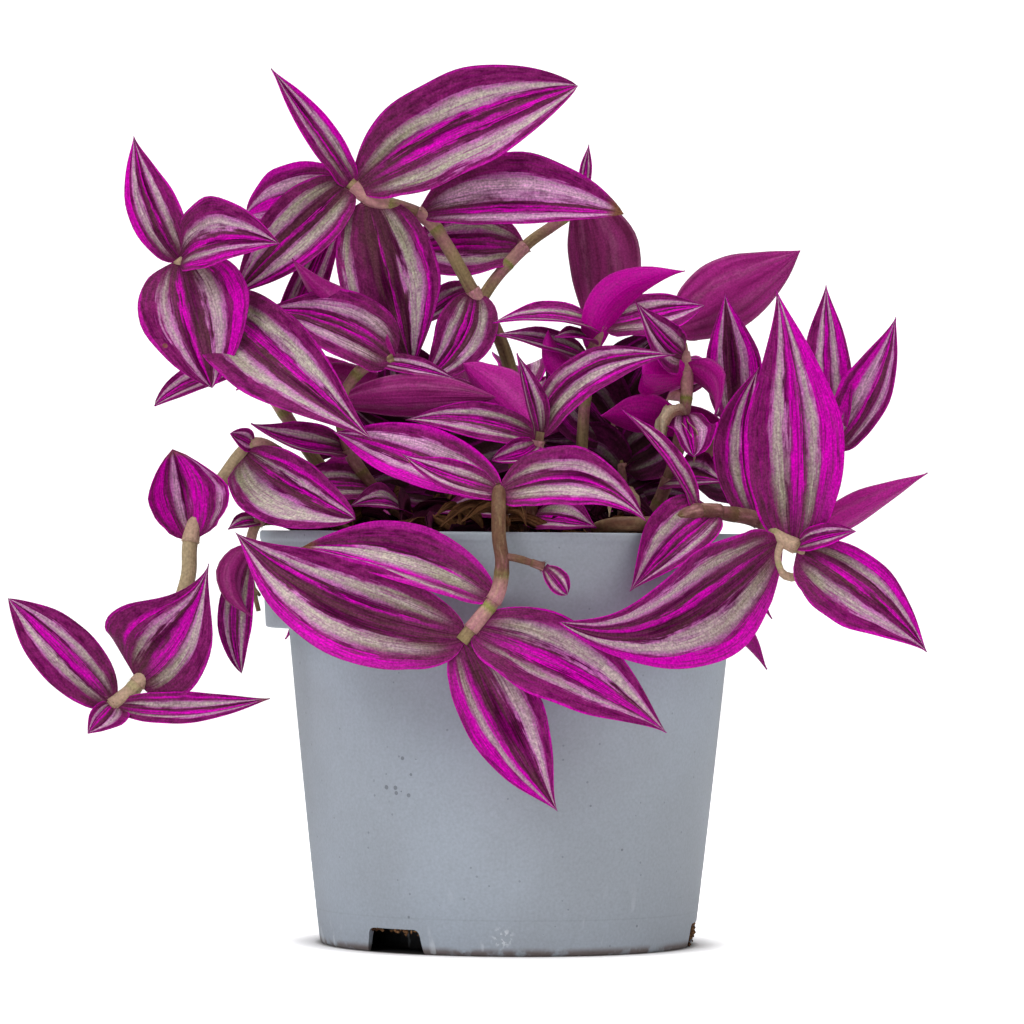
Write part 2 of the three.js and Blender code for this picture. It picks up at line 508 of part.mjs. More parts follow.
    leaves: [
      leaf('under_1', [-14, 3, 107], [-42, -6, 109], 18, [0, -0.8, 0.6], { arch: 0.08, hidden: true }),
      leaf('under_2', [-16, 3, 114], [-39, 7, 122], 22, [0, -1, 0.3], { arch: 0.1, hidden: true }),
      leaf('under_3', [-15, 3, 110], [11, 17, 113], 22, [0, -1, 0.3], { arch: 0.1, hidden: true }),
      leaf('under_4', [-17, 4, 118], [9, 11, 126], 24, [0, -1, 0.3], { arch: 0.1, hidden: true }),
      leaf('under_5', [-18, 4, 121], [-30, 8, 148], 20, [0, -1, 0.1], { arch: 0.08, hidden: true }),
      leaf('under_6', [-18, 4, 120], [-41, 0, 131], 16, [0, -1, 0.2], { arch: 0.08, hidden: true }),
    ],
  },
  {
    name: 'stem_inner_right',
    stalks: [stalk([[27, 6, 98], [27, 5, 114], [25, 4, 128]], 1.4, { plant: true })],
    leaves: [
      leaf('under_1', [27, 6, 105], [47, -6, 107], 16, [0, -0.8, 0.6], { arch: 0.08, hidden: true }),
      leaf('under_2', [27, 5.5, 110], [6, 3, 122], 24, [0, -1, 0.3], { arch: 0.08, hidden: true }),
      leaf('under_3', [27, 5, 116], [44, 6, 127], 20, [0, -1, 0.3], { arch: 0.08, hidden: true }),
      leaf('under_4', [26, 4.5, 123], [8, 4, 141], 22, [0, -1, 0.2], { arch: 0.08, hidden: true }),
      leaf('under_5', [25, 4, 128], [38, 4, 150], 20, [-0.1, -1, 0.1], { arch: 0.08, hidden: true }),
      leaf('under_6', [27, 6, 109], [41, 3, 114], 13, [0, -1, 0.3], { arch: 0.06, hidden: true }),
    ],
  },
  {
    name: 'stem_right_back',
    stalks: [
      stalk([[32, 6, 98], [42, 4, 110], [54, 0, 126], [66, -3, 124.5], [79, -6, 120.5]], 1.6,
        { plant: true }),
    ],
    leaves: [
      leaf('under_1', [46, 3, 115], [66, 0, 110], 18, [0, -1, 0.3], { arch: 0.06, hidden: true }),
      leaf('k1', [54.5, 0, 126], [51.7, -8, 158], 15.5, [-0.1, -1, 0.1], { fold: 0.3, lean: -0.15 }),
      leaf('m1', [77, -5.5, 121], [76.2, -8, 160.2], 14, [-0.1, -1, 0.1], { fold: 0.3 }),
      leaf('m2', [78.5, -6, 120.5], [93.2, -12, 152.5], 14, [-0.2, -1, 0.2],
        { sway: -0.08, fold: 0.3, lean: 0.1 }),
    ],
  },
];

// ---------------------------------------------------------------- the leafy stems behind them
const BACK_STEMS = 5;
const BACK_SEED = 31;
const BACK_FIRST = 38; // azimuth of the first one, degrees from +X
const BACK_SPREAD = 98; // degrees from the first to the last
const BACK_RADIUS = 1.6;
const BACK_JITTER = 3; // heights vary by this much
const UPRIGHT = { // distances from the pot's axis with heights, and where along the stalk its leaves grow
  profile: [[26, 98], [30, 110], [36, 122], [45, 131], [54, 134]],
  shares: [0.3, 0.45, 0.6, 0.75, 0.88, 1],
  rise: 0.25,
  droop: 0,
};
const TRAILING = {
  profile: [[44, 97], [52, 108], [63, 109], [71, 100], [76, 86], [80, 73]],
  shares: [0.3, 0.42, 0.56, 0.7, 0.83, 0.93, 1],
  rise: 0.1,
  droop: 0.4, // how far its leaves follow the stalk down
};
const BACK_LEAF = { length: 32, spread: 8, slimness: 0.48, outward: 0.35, dip: 0.35 };

// Alternate stems stand up and trail over the rim, and their leaves alternate left and right.
function makeBackStem(index, random) {
  const azimuth = radians(BACK_FIRST + (BACK_SPREAD * index) / (BACK_STEMS - 1));
  const [dx, dy] = [Math.cos(azimuth), Math.sin(azimuth)];
  const { profile, shares, rise, droop } = index % 2 === 0 ? UPRIGHT : TRAILING;
  const points = profile.map(([r, z]) => [r * dx, r * dy, z + BACK_JITTER * random()]);
  const stalks = [stalk(points, BACK_RADIUS, { seen: false, plant: true })];
  const { curve } = stalks[0];
  const leaves = shares.map((share, k) => {
    const base = curve.getPointAt(share);
    const heading = curve.getTangentAt(share);
    const turn = share === 1 ? 0.1 : (k % 2 ? -1 : 1) * (1.6 - 1.1 * share + 0.25 * random());
    const direction = new THREE.Vector3(heading.x, heading.y, 0).normalize()
      .applyAxisAngle(new THREE.Vector3(0, 0, 1), turn);
    direction.z = rise - BACK_LEAF.dip * random() + droop * heading.z;
    const length = BACK_LEAF.length + BACK_LEAF.spread * random();
    return {
      name: `back_${k}`, base, tip: base.clone().addScaledVector(direction.normalize(), length),
      width: length * BACK_LEAF.slimness,
      face: new THREE.Vector3(dx * BACK_LEAF.outward, dy * BACK_LEAF.outward, 1),
      ...FLAT, arch: 0.12 + 0.05 * random(), fold: 0.3, hidden: true,
    };
  });
  return { name: `stem_back_${index + 1}`, stalks, leaves };
}

const backRandom = seededRandom(BACK_SEED);
const backStems = Array.from({ length: BACK_STEMS }, (_, index) => makeBackStem(index, backRandom));

// ---------------------------------------------------------------- assembly
const plastic = new THREE.MeshStandardMaterial({ color: 0x9aa5ae, roughness: 0.55 });
const peat = new THREE.MeshStandardMaterial({ color: 0x2c1d16, roughness: 1 });
const foliage = new THREE.MeshStandardMaterial({ color: 0x8b2a6e, roughness: 0.5 });

const stems = [...frontStems, ...backStems].map((stem) => ({
  ...stem, leaves: stem.leaves.map((blade) => rootOnStalk(blade, stem.stalks)),
}));

function makeStem({ name, stalks, leaves }) {
  const solids = [...stalks.map(tubeSolid), ...leaves.map(bladeSolid)];
  return toMesh(solids.reduce((whole, piece) => whole.add(piece)), name, foliage);
}

const plant = new THREE.Group();
plant.add(toMesh(makePot(), 'pot', plastic));
plant.add(toMesh(makeSoil(stems), 'soil', peat));
for (const stem of stems) plant.add(makeStem(stem));

export default plant;
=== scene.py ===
"""A potted tradescantia: a moulded nursery pot, its potting mix and its striped leafy stems.

Sizes are millimetres in the tables and dataclass fields, and become metres where a mesh is made. Places in
materials are metres. The listed stems repeat the routes of the model's own source, so that each piece
lies in its node's place.
"""
from __future__ import annotations

import logging
import math
import random
from collections.abc import Iterable, Mapping, Sequence
from dataclasses import dataclass, field
from enum import Enum

import bpy
import numpy as np
from bpy.types import Material, Node, NodeSocket as Socket
from mathutils import Matrix, Vector


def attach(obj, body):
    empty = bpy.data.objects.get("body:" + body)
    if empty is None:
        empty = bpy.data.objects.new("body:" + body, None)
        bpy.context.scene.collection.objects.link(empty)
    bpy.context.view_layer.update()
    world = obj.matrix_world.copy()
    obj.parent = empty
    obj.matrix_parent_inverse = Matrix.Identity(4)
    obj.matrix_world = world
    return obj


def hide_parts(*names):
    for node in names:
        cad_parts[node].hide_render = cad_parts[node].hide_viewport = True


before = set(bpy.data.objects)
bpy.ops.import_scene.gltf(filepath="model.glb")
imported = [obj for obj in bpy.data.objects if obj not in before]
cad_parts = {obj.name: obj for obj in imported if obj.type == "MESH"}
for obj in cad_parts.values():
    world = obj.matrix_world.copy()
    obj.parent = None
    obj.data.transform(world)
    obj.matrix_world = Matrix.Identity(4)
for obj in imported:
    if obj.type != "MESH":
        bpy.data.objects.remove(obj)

log = logging.getLogger("tradescantia")

Point = tuple[float, float, float]
Colour = tuple[float, float, float]
Band = tuple[float, float]
Face = tuple[int, ...]

MM = 0.001
TURN = 2 * math.pi
EYE_DISTANCE = 1340.0  # of the eye that the front leaves were placed from
EYE_HEIGHT = 98.9
BODY = "root"


# ---------------------------------------------------------------- numbers
def sighted(point: Point) -> np.ndarray:
    """Move a point seen at (x, z) across the pot's axis along its line of sight to depth y.

    Args:
        point: Where it is seen, with its depth, in millimetres.

    Returns:
        Its place in the model's frame, in millimetres.
    """
    x, y, z = point
    nearer = (EYE_DISTANCE + y) / EYE_DISTANCE
    return np.array([x * nearer, y, EYE_HEIGHT + (z - EYE_HEIGHT) * nearer])


def unit(vectors: np.ndarray) -> np.ndarray:
    """Scale each vector of an array to length one."""
    return vectors / np.maximum(np.linalg.norm(vectors, axis=-1, keepdims=True), 1e-9)


def turned(vectors: np.ndarray, axes: np.ndarray, angles: np.ndarray) -> np.ndarray:
    """Turn each vector about its own axis by its own angle.

    Args:
        vectors: One row for each vector.
        axes: A unit axis for each vector.
        angles: Radians, one for each vector.

    Returns:
        The turned vectors.
    """
    cos, sin = np.cos(angles)[:, None], np.sin(angles)[:, None]
    along = np.sum(vectors * axes, axis=1, keepdims=True)
    return vectors * cos + np.cross(axes, vectors) * sin + axes * along * (1 - cos)


def linear(colour: Colour) -> tuple[float, float, float, float]:
    """Turn a colour of 0 to 255 as the eye names it into the linear value that a shader takes."""
    shares = [channel / 255 for channel in colour]
    return (*[s / 12.92 if s <= 0.04045 else ((s + 0.055) / 1.055) ** 2.4 for s in shares], 1.0)


class Chance:
    """The small random numbers of the model's source, so that the back stems come out the same."""

    def __init__(self, seed: int) -> None:
        """Start the row of numbers at a seed."""
        self.state = seed

    def __call__(self) -> float:
        """Give the next number from 0 to 1."""
        self.state = (self.state * 1664525 + 1013904223) % 2**32
        return self.state / 2**32


class Route:
    """A smooth centripetal curve through points, measured along its length."""

    DIVISIONS = 200

    def __init__(self, points: Sequence[np.ndarray]) -> None:
        """Take the points that the curve passes through."""
        self.points = [np.asarray(p, float) for p in points]
        places = np.array([self.at(k / self.DIVISIONS) for k in range(self.DIVISIONS + 1)])
        steps = np.linalg.norm(np.diff(places, axis=0), axis=1)
        self.lengths = np.concatenate([[0.0], np.cumsum(steps)])

    @property
    def length(self) -> float:
        """The curve's whole length."""
        return float(self.lengths[-1])

    def at(self, t: float) -> np.ndarray:
        """Give the point at a parameter from 0 to 1.

        Args:
            t: The share of the way by the points' own spacing.

        Returns:
            The point on the curve.
        """
        spans = len(self.points) - 1
        index = min(int(t * spans), spans - 1)
        share = t * spans - index
        p1, p2 = self.points[index], self.points[index + 1]
        p0 = self.points[index - 1] if index > 0 else 2 * p1 - p2
        p3 = self.points[index + 2] if index + 2 <= spans else 2 * p2 - p1
        gaps = [max(float(np.sum((b - a) ** 2)) ** 0.25, 1e-4) for a, b in ((p0, p1), (p1, p2), (p2, p3))]
        leave = ((p1 - p0) / gaps[0] - (p2 - p0) / (gaps[0] + gaps[1]) + (p2 - p1) / gaps[1]) * gaps[1]
        reach = ((p2 - p1) / gaps[1] - (p3 - p1) / (gaps[1] + gaps[2]) + (p3 - p2) / gaps[2]) * gaps[1]
        cubic = 2 * p1 - 2 * p2 + leave + reach
        square = -3 * p1 + 3 * p2 - 2 * leave - reach
        return ((cubic * share + square) * share + leave) * share + p1

    def parameter(self, share: float) -> float:
        """Turn a share of the length into the curve's own parameter."""
        return float(np.interp(share * self.length, self.lengths, np.linspace(0, 1, self.DIVISIONS + 1)))

    def along(self, share: float) -> np.ndarray:
        """Give the point at a share of the length."""
        return self.at(self.parameter(share))

    def heading(self, share: float) -> np.ndarray:
        """Give the unit direction at a share of the length."""
        t = self.parameter(share)
        return unit(self.at(min(t + 1e-4, 1.0)) - self.at(max(t - 1e-4, 0.0)))


# ---------------------------------------------------------------- meshes
def linked(name: str, data: bpy.types.ID) -> bpy.types.Object:
    """Make an object of a mesh, a lamp or a camera, and put it in the scene."""
    thing = bpy.data.objects.new(name, data)
    bpy.context.collection.objects.link(thing)
    return thing


@dataclass
class Patchwork:
    """Gathers points, faces and point attributes of many small surfaces into one mesh."""

    points: list[np.ndarray] = field(default_factory=list)
    faces: list[Face] = field(default_factory=list)
    slots: list[int] = field(default_factory=list)
    values: dict[str, list[np.ndarray]] = field(default_factory=dict)
    count: int = 0

    def add(self, points: np.ndarray, faces: Iterable[Face], slots: int | Sequence[int] = 0,
            **values: np.ndarray) -> None:
        """Add one surface.

        Args:
            points: Its points in millimetres, one row each.
            faces: Its faces, as rows of those points.
            slots: The material slot of all faces, or of each.
            **values: For each attribute, one row of numbers for each point.
        """
        faces = [tuple(int(i) + self.count for i in face) for face in faces]
        self.slots += [slots] * len(faces) if isinstance(slots, int) else list(slots)
        self.faces += faces
        self.points.append(points)
        self.count += len(points)
        for name, rows in values.items():
            self.values.setdefault(name, []).append(np.asarray(rows, float))

    def make(self, name: str, materials: Sequence[Material], slot: str,
             nodes: Sequence[str] = (), smooth: bool = True) -> bpy.types.Object:
        """Make the object, dress it and hang it on the body.

        Args:
            name: The piece's name.
            materials: Its materials, in the order of the slots.
            slot: The record's material slot; not used.
            nodes: The nodes of the model that it stands for.
            smooth: Whether its faces are shaded smooth.

        Returns:
            The new object.
        """
        mesh = bpy.data.meshes.new(name)
        mesh.from_pydata((np.concatenate(self.points) * MM).tolist(), [], self.faces)
        mesh.polygons.foreach_set("material_index", self.slots)
        mesh.polygons.foreach_set("use_smooth", [smooth] * len(self.faces))
        for label, rows in self.values.items():
            numbers = np.concatenate(rows)
            wide = numbers.shape[1] == 4
            kind, key = ("FLOAT_COLOR", "color") if wide else ("FLOAT_VECTOR", "vector")
            attribute = mesh.attributes.new(label, kind, "POINT")
            attribute.data.foreach_set(key, numbers.astype(np.float32).ravel())
        mesh.update()
        piece = linked(name, mesh)
        for material in materials:
            mesh.materials.append(material)
        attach(piece, BODY)
        if nodes:
            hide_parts(*nodes)
        log.info("%s: %d faces", name, len(self.faces))
        return piece


def grid_faces(rows: int, columns: int, start: int = 0, flip: bool = False) -> list[Face]:
    """List the faces of a grid of points.

    Args:
        rows: Number of rows of points.
        columns: Points in a row.
        start: Index of the first point.
        flip: Whether the faces look the other way.

    Returns:
        The four-sided faces.
    """
    faces = []
    for i in range(rows - 1):
        for j in range(columns - 1):
            a = start + i * columns + j
            face = (a, a + 1, a + columns + 1, a + columns)
            faces.append(face[::-1] if flip else face)
    return faces


def ring_faces(rings: int, sides: int, start: int = 0, flip: bool = False) -> list[Face]:
    """List the faces of a tube of closed rings of points.

    Args:
        rings: Number of rings.
        sides: Points in a ring.
        start: Index of the first point.
        flip: Whether the faces look inwards.

    Returns:
        The four-sided faces.
    """
    faces = []
    for i in range(rings - 1):
        for j in range(sides):
            a, b = start + i * sides + j, start + i * sides + (j + 1) % sides
            face = (a, b, b + sides, a + sides)
            faces.append(face[::-1] if flip else face)
    return faces


def lathe(profile: Sequence[tuple[float, float]], sides: int) -> tuple[np.ndarray, list[Face]]:
    """Turn an outline about the upright axis into a closed solid.

    Args:
        profile: Radius and height of each corner, from the axis round to the axis again.
        sides: Number of sides.

    Returns:
        The points and the faces.
    """
    angles = np.arange(sides) * TURN / sides
    inner = [(r, z) for r, z in profile if r > 0]
    points = [np.array([r * math.cos(a), r * math.sin(a), z]) for r, z in inner for a in angles]
    faces = ring_faces(len(inner), sides)
    first, last = len(points), len(points) + 1
    points += [np.array([0, 0, profile[0][1]]), np.array([0, 0, profile[-1][1]])]
    end = (len(inner) - 1) * sides
    for j in range(sides):
        k = (j + 1) % sides
        faces += [(first, k, j), (last, end + j, end + k)]
    return np.array(points), faces


def rounded(corners: Sequence[tuple[float, float, float]], steps: int = 4) -> list[tuple[float, float]]:
    """Round the corners of an outline.

    Args:
        corners: Radius and height of each corner and how much of it is rounded off.
        steps: Points along each rounding.

    Returns:
        The outline's points.
    """
    outline: list[tuple[float, float]] = []
    for k, (r, z, size) in enumerate(corners):
        if size <= 0:
            outline.append((r, z))
            continue
        here = np.array([r, z])
        before = here + unit(np.array(corners[k - 1][:2]) - here) * size
        after = here + unit(np.array(corners[k + 1][:2]) - here) * size
        for s in np.linspace(0, 1, steps + 1):
            bent = before * (1 - s) ** 2 + here * 2 * s * (1 - s) + after * s**2
            outline.append((float(bent[0]), float(bent[1])))
    return outline


# ---------------------------------------------------------------- shader nodes
class Graph:
    """Adds nodes to one tree and joins each input to a number or to another node's output."""

    def __init__(self, tree: bpy.types.NodeTree) -> None:
        """Work on a tree."""
        self.tree = tree

    def feed(self, node: Node, inputs: Mapping[str | int, object]) -> Node:
        """Join each of a node's inputs to an output, or set it to a number or a colour.

        Args:
            node: The node.
            inputs: What each input takes.

        Returns:
            The node.
        """
        for key, value in inputs.items():
            if isinstance(value, Socket):
                self.tree.links.new(value, node.inputs[key])
            else:
                node.inputs[key].default_value = value
        return node

    def node(self, kind: str, inputs: Mapping[str | int, object] | None = None, **settings: object) -> Node:
        """Add a node.

        Args:
            kind: Its type, as Blender names it.
            inputs: What each input takes.
            **settings: The node's own options.

        Returns:
            The node.
        """
        node = self.tree.nodes.new(kind)
        for name, value in settings.items():
            setattr(node, name, value)
        return self.feed(node, inputs or {})

    def group(self, effect: Effect, **inputs: object) -> bpy.types.NodeOutputs:
        """Place a shared effect and give its outputs."""
        return self.feed(self.node("ShaderNodeGroup", node_tree=effect.tree()), inputs).outputs

    def math(self, operation: str, a: object, b: object = 0.0, clamp: bool = False) -> Socket:
        """Work out a number from one or two others."""
        return self.node("ShaderNodeMath", {0: a, 1: b}, operation=operation, use_clamp=clamp).outputs[0]

    def plus(self, a: object, b: object, clamp: bool = False) -> Socket:
        """Add two numbers."""
        return self.math("ADD", a, b, clamp)

    def minus(self, a: object, b: object) -> Socket:
        """Take one number from another."""
        return self.math("SUBTRACT", a, b)

    def times(self, a: object, b: object, clamp: bool = False) -> Socket:
        """Multiply two numbers."""
        return self.math("MULTIPLY", a, b, clamp)

    def rest(self, mask: object) -> Socket:
        """Turn a mask inside out."""
        return self.minus(1.0, mask)

    def mix(self, share: object, a: object, b: object, blend: str = "MIX") -> Socket:
        """Mix two colours."""
        inputs = {0: share, 6: a, 7: b}
        return self.node("ShaderNodeMix", inputs, data_type="RGBA", blend_type=blend).outputs[2]

    def tint(self, colour: object, mask: object, other: Colour, strength: float | None = None) -> Socket:
        """Turn a colour into another one where a mask is, in full or at a strength."""
        share = mask if strength is None else self.times(mask, strength)
        return self.mix(share, colour, linear(other))

    def between(self, share: object, a: Colour, b: Colour) -> Socket:
        """Mix two plain colours."""
        return self.mix(share, linear(a), linear(b))

    def shade(self, colour: object, factor: object) -> Socket:
        """Multiply a colour by a number."""
        return self.mix(1.0, colour, factor, "MULTIPLY")

    def ease(self, value: object, low: object, high: object) -> Socket:
        """Turn a number into 0 below low and 1 above high, smoothly between them."""
        inputs = {"Value": value, "From Min": low, "From Max": high}
        return self.node("ShaderNodeMapRange", inputs, interpolation_type="SMOOTHSTEP").outputs[0]

    def noise(self, place: object, scale: object, detail: float = 2.0) -> Socket:
        """Give a cloudy value of about 0.5 at a place."""
        return self.node("ShaderNodeTexNoise", {"Vector": place, "Scale": scale, "Detail": detail}).outputs[0]

    def stretch(self, place: object, scale: Point) -> Socket:
        """Scale a place along each of its axes."""
        return self.node("ShaderNodeVectorMath", {0: place, 1: scale}, operation="MULTIPLY").outputs[0]

    def attribute(self, name: str) -> bpy.types.NodeOutputs:
        """Read an attribute of the mesh."""
        return self.node("ShaderNodeAttribute", attribute_name=name).outputs

    def split(self, vector: object) -> tuple[Socket, Socket, Socket]:
        """Split a vector or colour into its three numbers."""
        outputs = self.node("ShaderNodeSeparateXYZ", {0: vector}).outputs
        return outputs[0], outputs[1], outputs[2]

    def here(self) -> Socket:
        """Give the place on the piece, in metres."""
        return self.node("ShaderNodeTexCoord").outputs["Object"]

    def bump(self, height: object, strength: float, distance: float) -> Socket:
        """Turn a height into a normal; distance is in metres."""
        inputs = {"Height": height, "Strength": strength, "Distance": distance}
        return self.node("ShaderNodeBump", inputs).outputs[0]

    def spot(self, across: object, height: object, place: Band, inner: float, outer: float) -> Socket:
        """Mask a round place that fades out between two radii.

        Args:
            across: A coordinate.
            height: The other coordinate.
            place: The middle of the place, in both.
            inner: The radius up to which it is full.
            outer: The radius where it ends.

        Returns:
            The mask.
        """
        offsets = [self.minus(way, middle) for way, middle in zip((across, height), place)]
        distance = self.math("SQRT", self.plus(*[self.times(offset, offset) for offset in offsets]))
        return self.rest(self.ease(distance, inner, outer))

    def streaks(self, attribute: str) -> bpy.types.NodeOutputs:
        """Give the streaks and patches at the place that an attribute holds."""
        return self.group(Effect.STREAKS, Place=self.attribute(attribute)["Vector"])

    def band(self, across: object, middle: object, half: object, feather: float) -> Socket:
        """Mask a soft band about a middle."""
        return self.group(Effect.BAND, Across=across, Middle=middle, Half=half, Feather=feather)[0]

    def speckle(self, fineness: float, amount: float) -> Socket:
        """Give a fine grain about one; fineness is to the metre."""
        return self.group(Effect.SPECKLE, Place=self.here(), Fineness=fineness, Amount=amount)[0]

    def flecks(self, fineness: float, size: float, share: float) -> Socket:
        """Mask small sparse spots, in a share of the cells of a fineness, each of a size of its cell."""
        return self.group(Effect.FLECKS, Place=self.here(), Fineness=fineness, Size=size, Share=share)[0]


class Effect(Enum):
    """The effects that several materials share, each a node group that is built once."""

    STREAKS = "long_streaks"
    BAND = "band_mask"
    SPECKLE = "speckle"
    FLECKS = "sparse_flecks"

    def tree(self) -> bpy.types.NodeTree:
        """Give the effect's node group, and build it the first time.

        Returns:
            The node group.
        """
        found = bpy.data.node_groups.get(self.value)
        if found:
            return found
        tree = bpy.data.node_groups.new(self.value, "ShaderNodeTree")
        {
            Effect.STREAKS: streaks_group,
            Effect.BAND: band_group,
            Effect.SPECKLE: speckle_group,
            Effect.FLECKS: flecks_group,
        }[self](tree)
        return tree


def sockets(tree: bpy.types.NodeTree, inputs: Sequence[str],
            outputs: Sequence[str]) -> tuple[Graph, bpy.types.NodeOutputs, bpy.types.NodeInputs]:
    """Give a group its named inputs and outputs.

    Args:
        tree: The group.
        inputs: The names of the inputs: Place is a vector, and the others are numbers.
        outputs: The names of the outputs, all numbers.

    Returns:
        The graph, the inside of the inputs, and the inside of the outputs.
    """
    for name in inputs:
        kind = "Vector" if name == "Place" else "Float"
        tree.interface.new_socket(name, in_out="INPUT", socket_type=f"NodeSocket{kind}")
    for name in outputs:
        tree.interface.new_socket(name, in_out="OUTPUT", socket_type="NodeSocketFloat")
    graph = Graph(tree)
    return graph, graph.node("NodeGroupInput").outputs, graph.node("NodeGroupOutput").inputs


def streaks_group(tree: bpy.types.NodeTree) -> None:
    """Streaks, from -1 to 1, that run along the first axis of a place in millimetres, and patches."""
    graph, given, result = sockets(tree, ["Place"], ["Coarse", "Fine", "Patch"])
    for name, scale, detail in (("Coarse", (0.06, 0.55, 3.1), 2.0), ("Fine", (0.16, 2.6, 5.3), 3.0),
                                ("Patch", (0.3, 0.8, 2.3), 5.0)):
        cloud = graph.noise(graph.stretch(given["Place"], scale), 1.0, detail)
        tree.links.new(graph.times(graph.minus(cloud, 0.5), 3.0), result[name])


def band_group(tree: bpy.types.NodeTree) -> None:
    """A soft band about a middle, on a scale that runs across the surface."""
    graph, given, result = sockets(tree, ["Across", "Middle", "Half", "Feather"], ["Mask"])
    distance = graph.math("ABSOLUTE", graph.minus(given["Across"], given["Middle"]))
    outer = graph.plus(given["Half"], given["Feather"])
    inner = graph.minus(given["Half"], given["Feather"])
    tree.links.new(graph.rest(graph.ease(distance, inner, outer)), result["Mask"])


def speckle_group(tree: bpy.types.NodeTree) -> None:
    """A fine grain about one, by which a colour is multiplied."""
    graph, given, result = sockets(tree, ["Place", "Fineness", "Amount"], ["Value"])
    cloud = graph.noise(given["Place"], given["Fineness"])
    tree.links.new(graph.plus(1.0, graph.times(graph.minus(cloud, 0.5), given["Amount"])), result["Value"])


def flecks_group(tree: bpy.types.NodeTree) -> None:
    """Small sparse spots: Share of the cells of Fineness to the metre have a spot of Size of a cell."""
    graph, given, result = sockets(tree, ["Place", "Fineness", "Size", "Share"], ["Mask"])
    cells = graph.node("ShaderNodeTexVoronoi", {"Vector": given["Place"], "Scale": given["Fineness"]}).outputs
    near = graph.math("LESS_THAN", cells["Distance"], given["Size"])
    lottery = graph.math("LESS_THAN", graph.split(cells["Color"])[0], given["Share"])
    tree.links.new(graph.times(near, lottery), result["Mask"])


@dataclass
class Skin:
    """A material in the making, with its graph and its main shader."""

    name: str

    def __post_init__(self) -> None:
        """Start the material."""
        self.material = bpy.data.materials.new(self.name)
        self.material.use_nodes = True
        self.material.node_tree.nodes.clear()
        self.graph = Graph(self.material.node_tree)
        self.shader = self.graph.node("ShaderNodeBsdfPrincipled")
        self.graph.node("ShaderNodeOutputMaterial", {"Surface": self.shader.outputs[0]})

    def finished(self, colour: Socket, roughness: object, specular: float, normal: Socket) -> Material:
        """Join the shader to its looks.

        Args:
            colour: The colour.
            roughness: The roughness, a number or an output.
            specular: The level of the plain reflection.
            normal: The normal.

        Returns:
            The material.
        """
        self.graph.feed(self.shader, {"Base Color": colour, "Roughness": roughness,
                                      "Specular IOR Level": specular, "Normal": normal})
        return self.material


# ---------------------------------------------------------------- finishes
@dataclass(frozen=True)
class Blade:
    """What the material of a leaf's upper side reads from its mesh."""

    along: Socket  # 0 at the base to 1 at the tip
    across: Socket  # -1 to 1, + left of the heading
    dry: Socket  # how brown the tip is
    tone: Socket  # how bright the plum is
    pale: Socket  # how pink the silver is
    margin: Socket  # the bright hem's width
    bent: Socket  # across, with the bands' wander
    side: Socket  # how far from the midrib with that wander, 0 to 1
    coarse: Socket
    fine: Socket
    patch: Socket

    @classmethod
    def read(cls, graph: Graph) -> Blade:
        """Read it, and let the bands wander and fray along the veins.

        Args:
            graph: The material's graph.

        Returns:
            What it reads.
        """
        along, across, dry = graph.split(graph.attribute("leaf_shape")["Vector"])
        character = graph.attribute("leaf_tone")
        tone, pale, _ = graph.split(character["Color"])
        streaks = graph.streaks("leaf_place")
        coarse, fine, patch = streaks["Coarse"], streaks["Fine"], streaks["Patch"]
        wander = graph.plus(graph.times(coarse, 0.07), graph.times(fine, 0.07))
        bent = graph.plus(across, graph.plus(wander, graph.times(patch, 0.05)))
        side = graph.math("ABSOLUTE", bent)
        return cls(along, across, dry, tone, pale, character["Alpha"], bent, side, coarse, fine, patch)


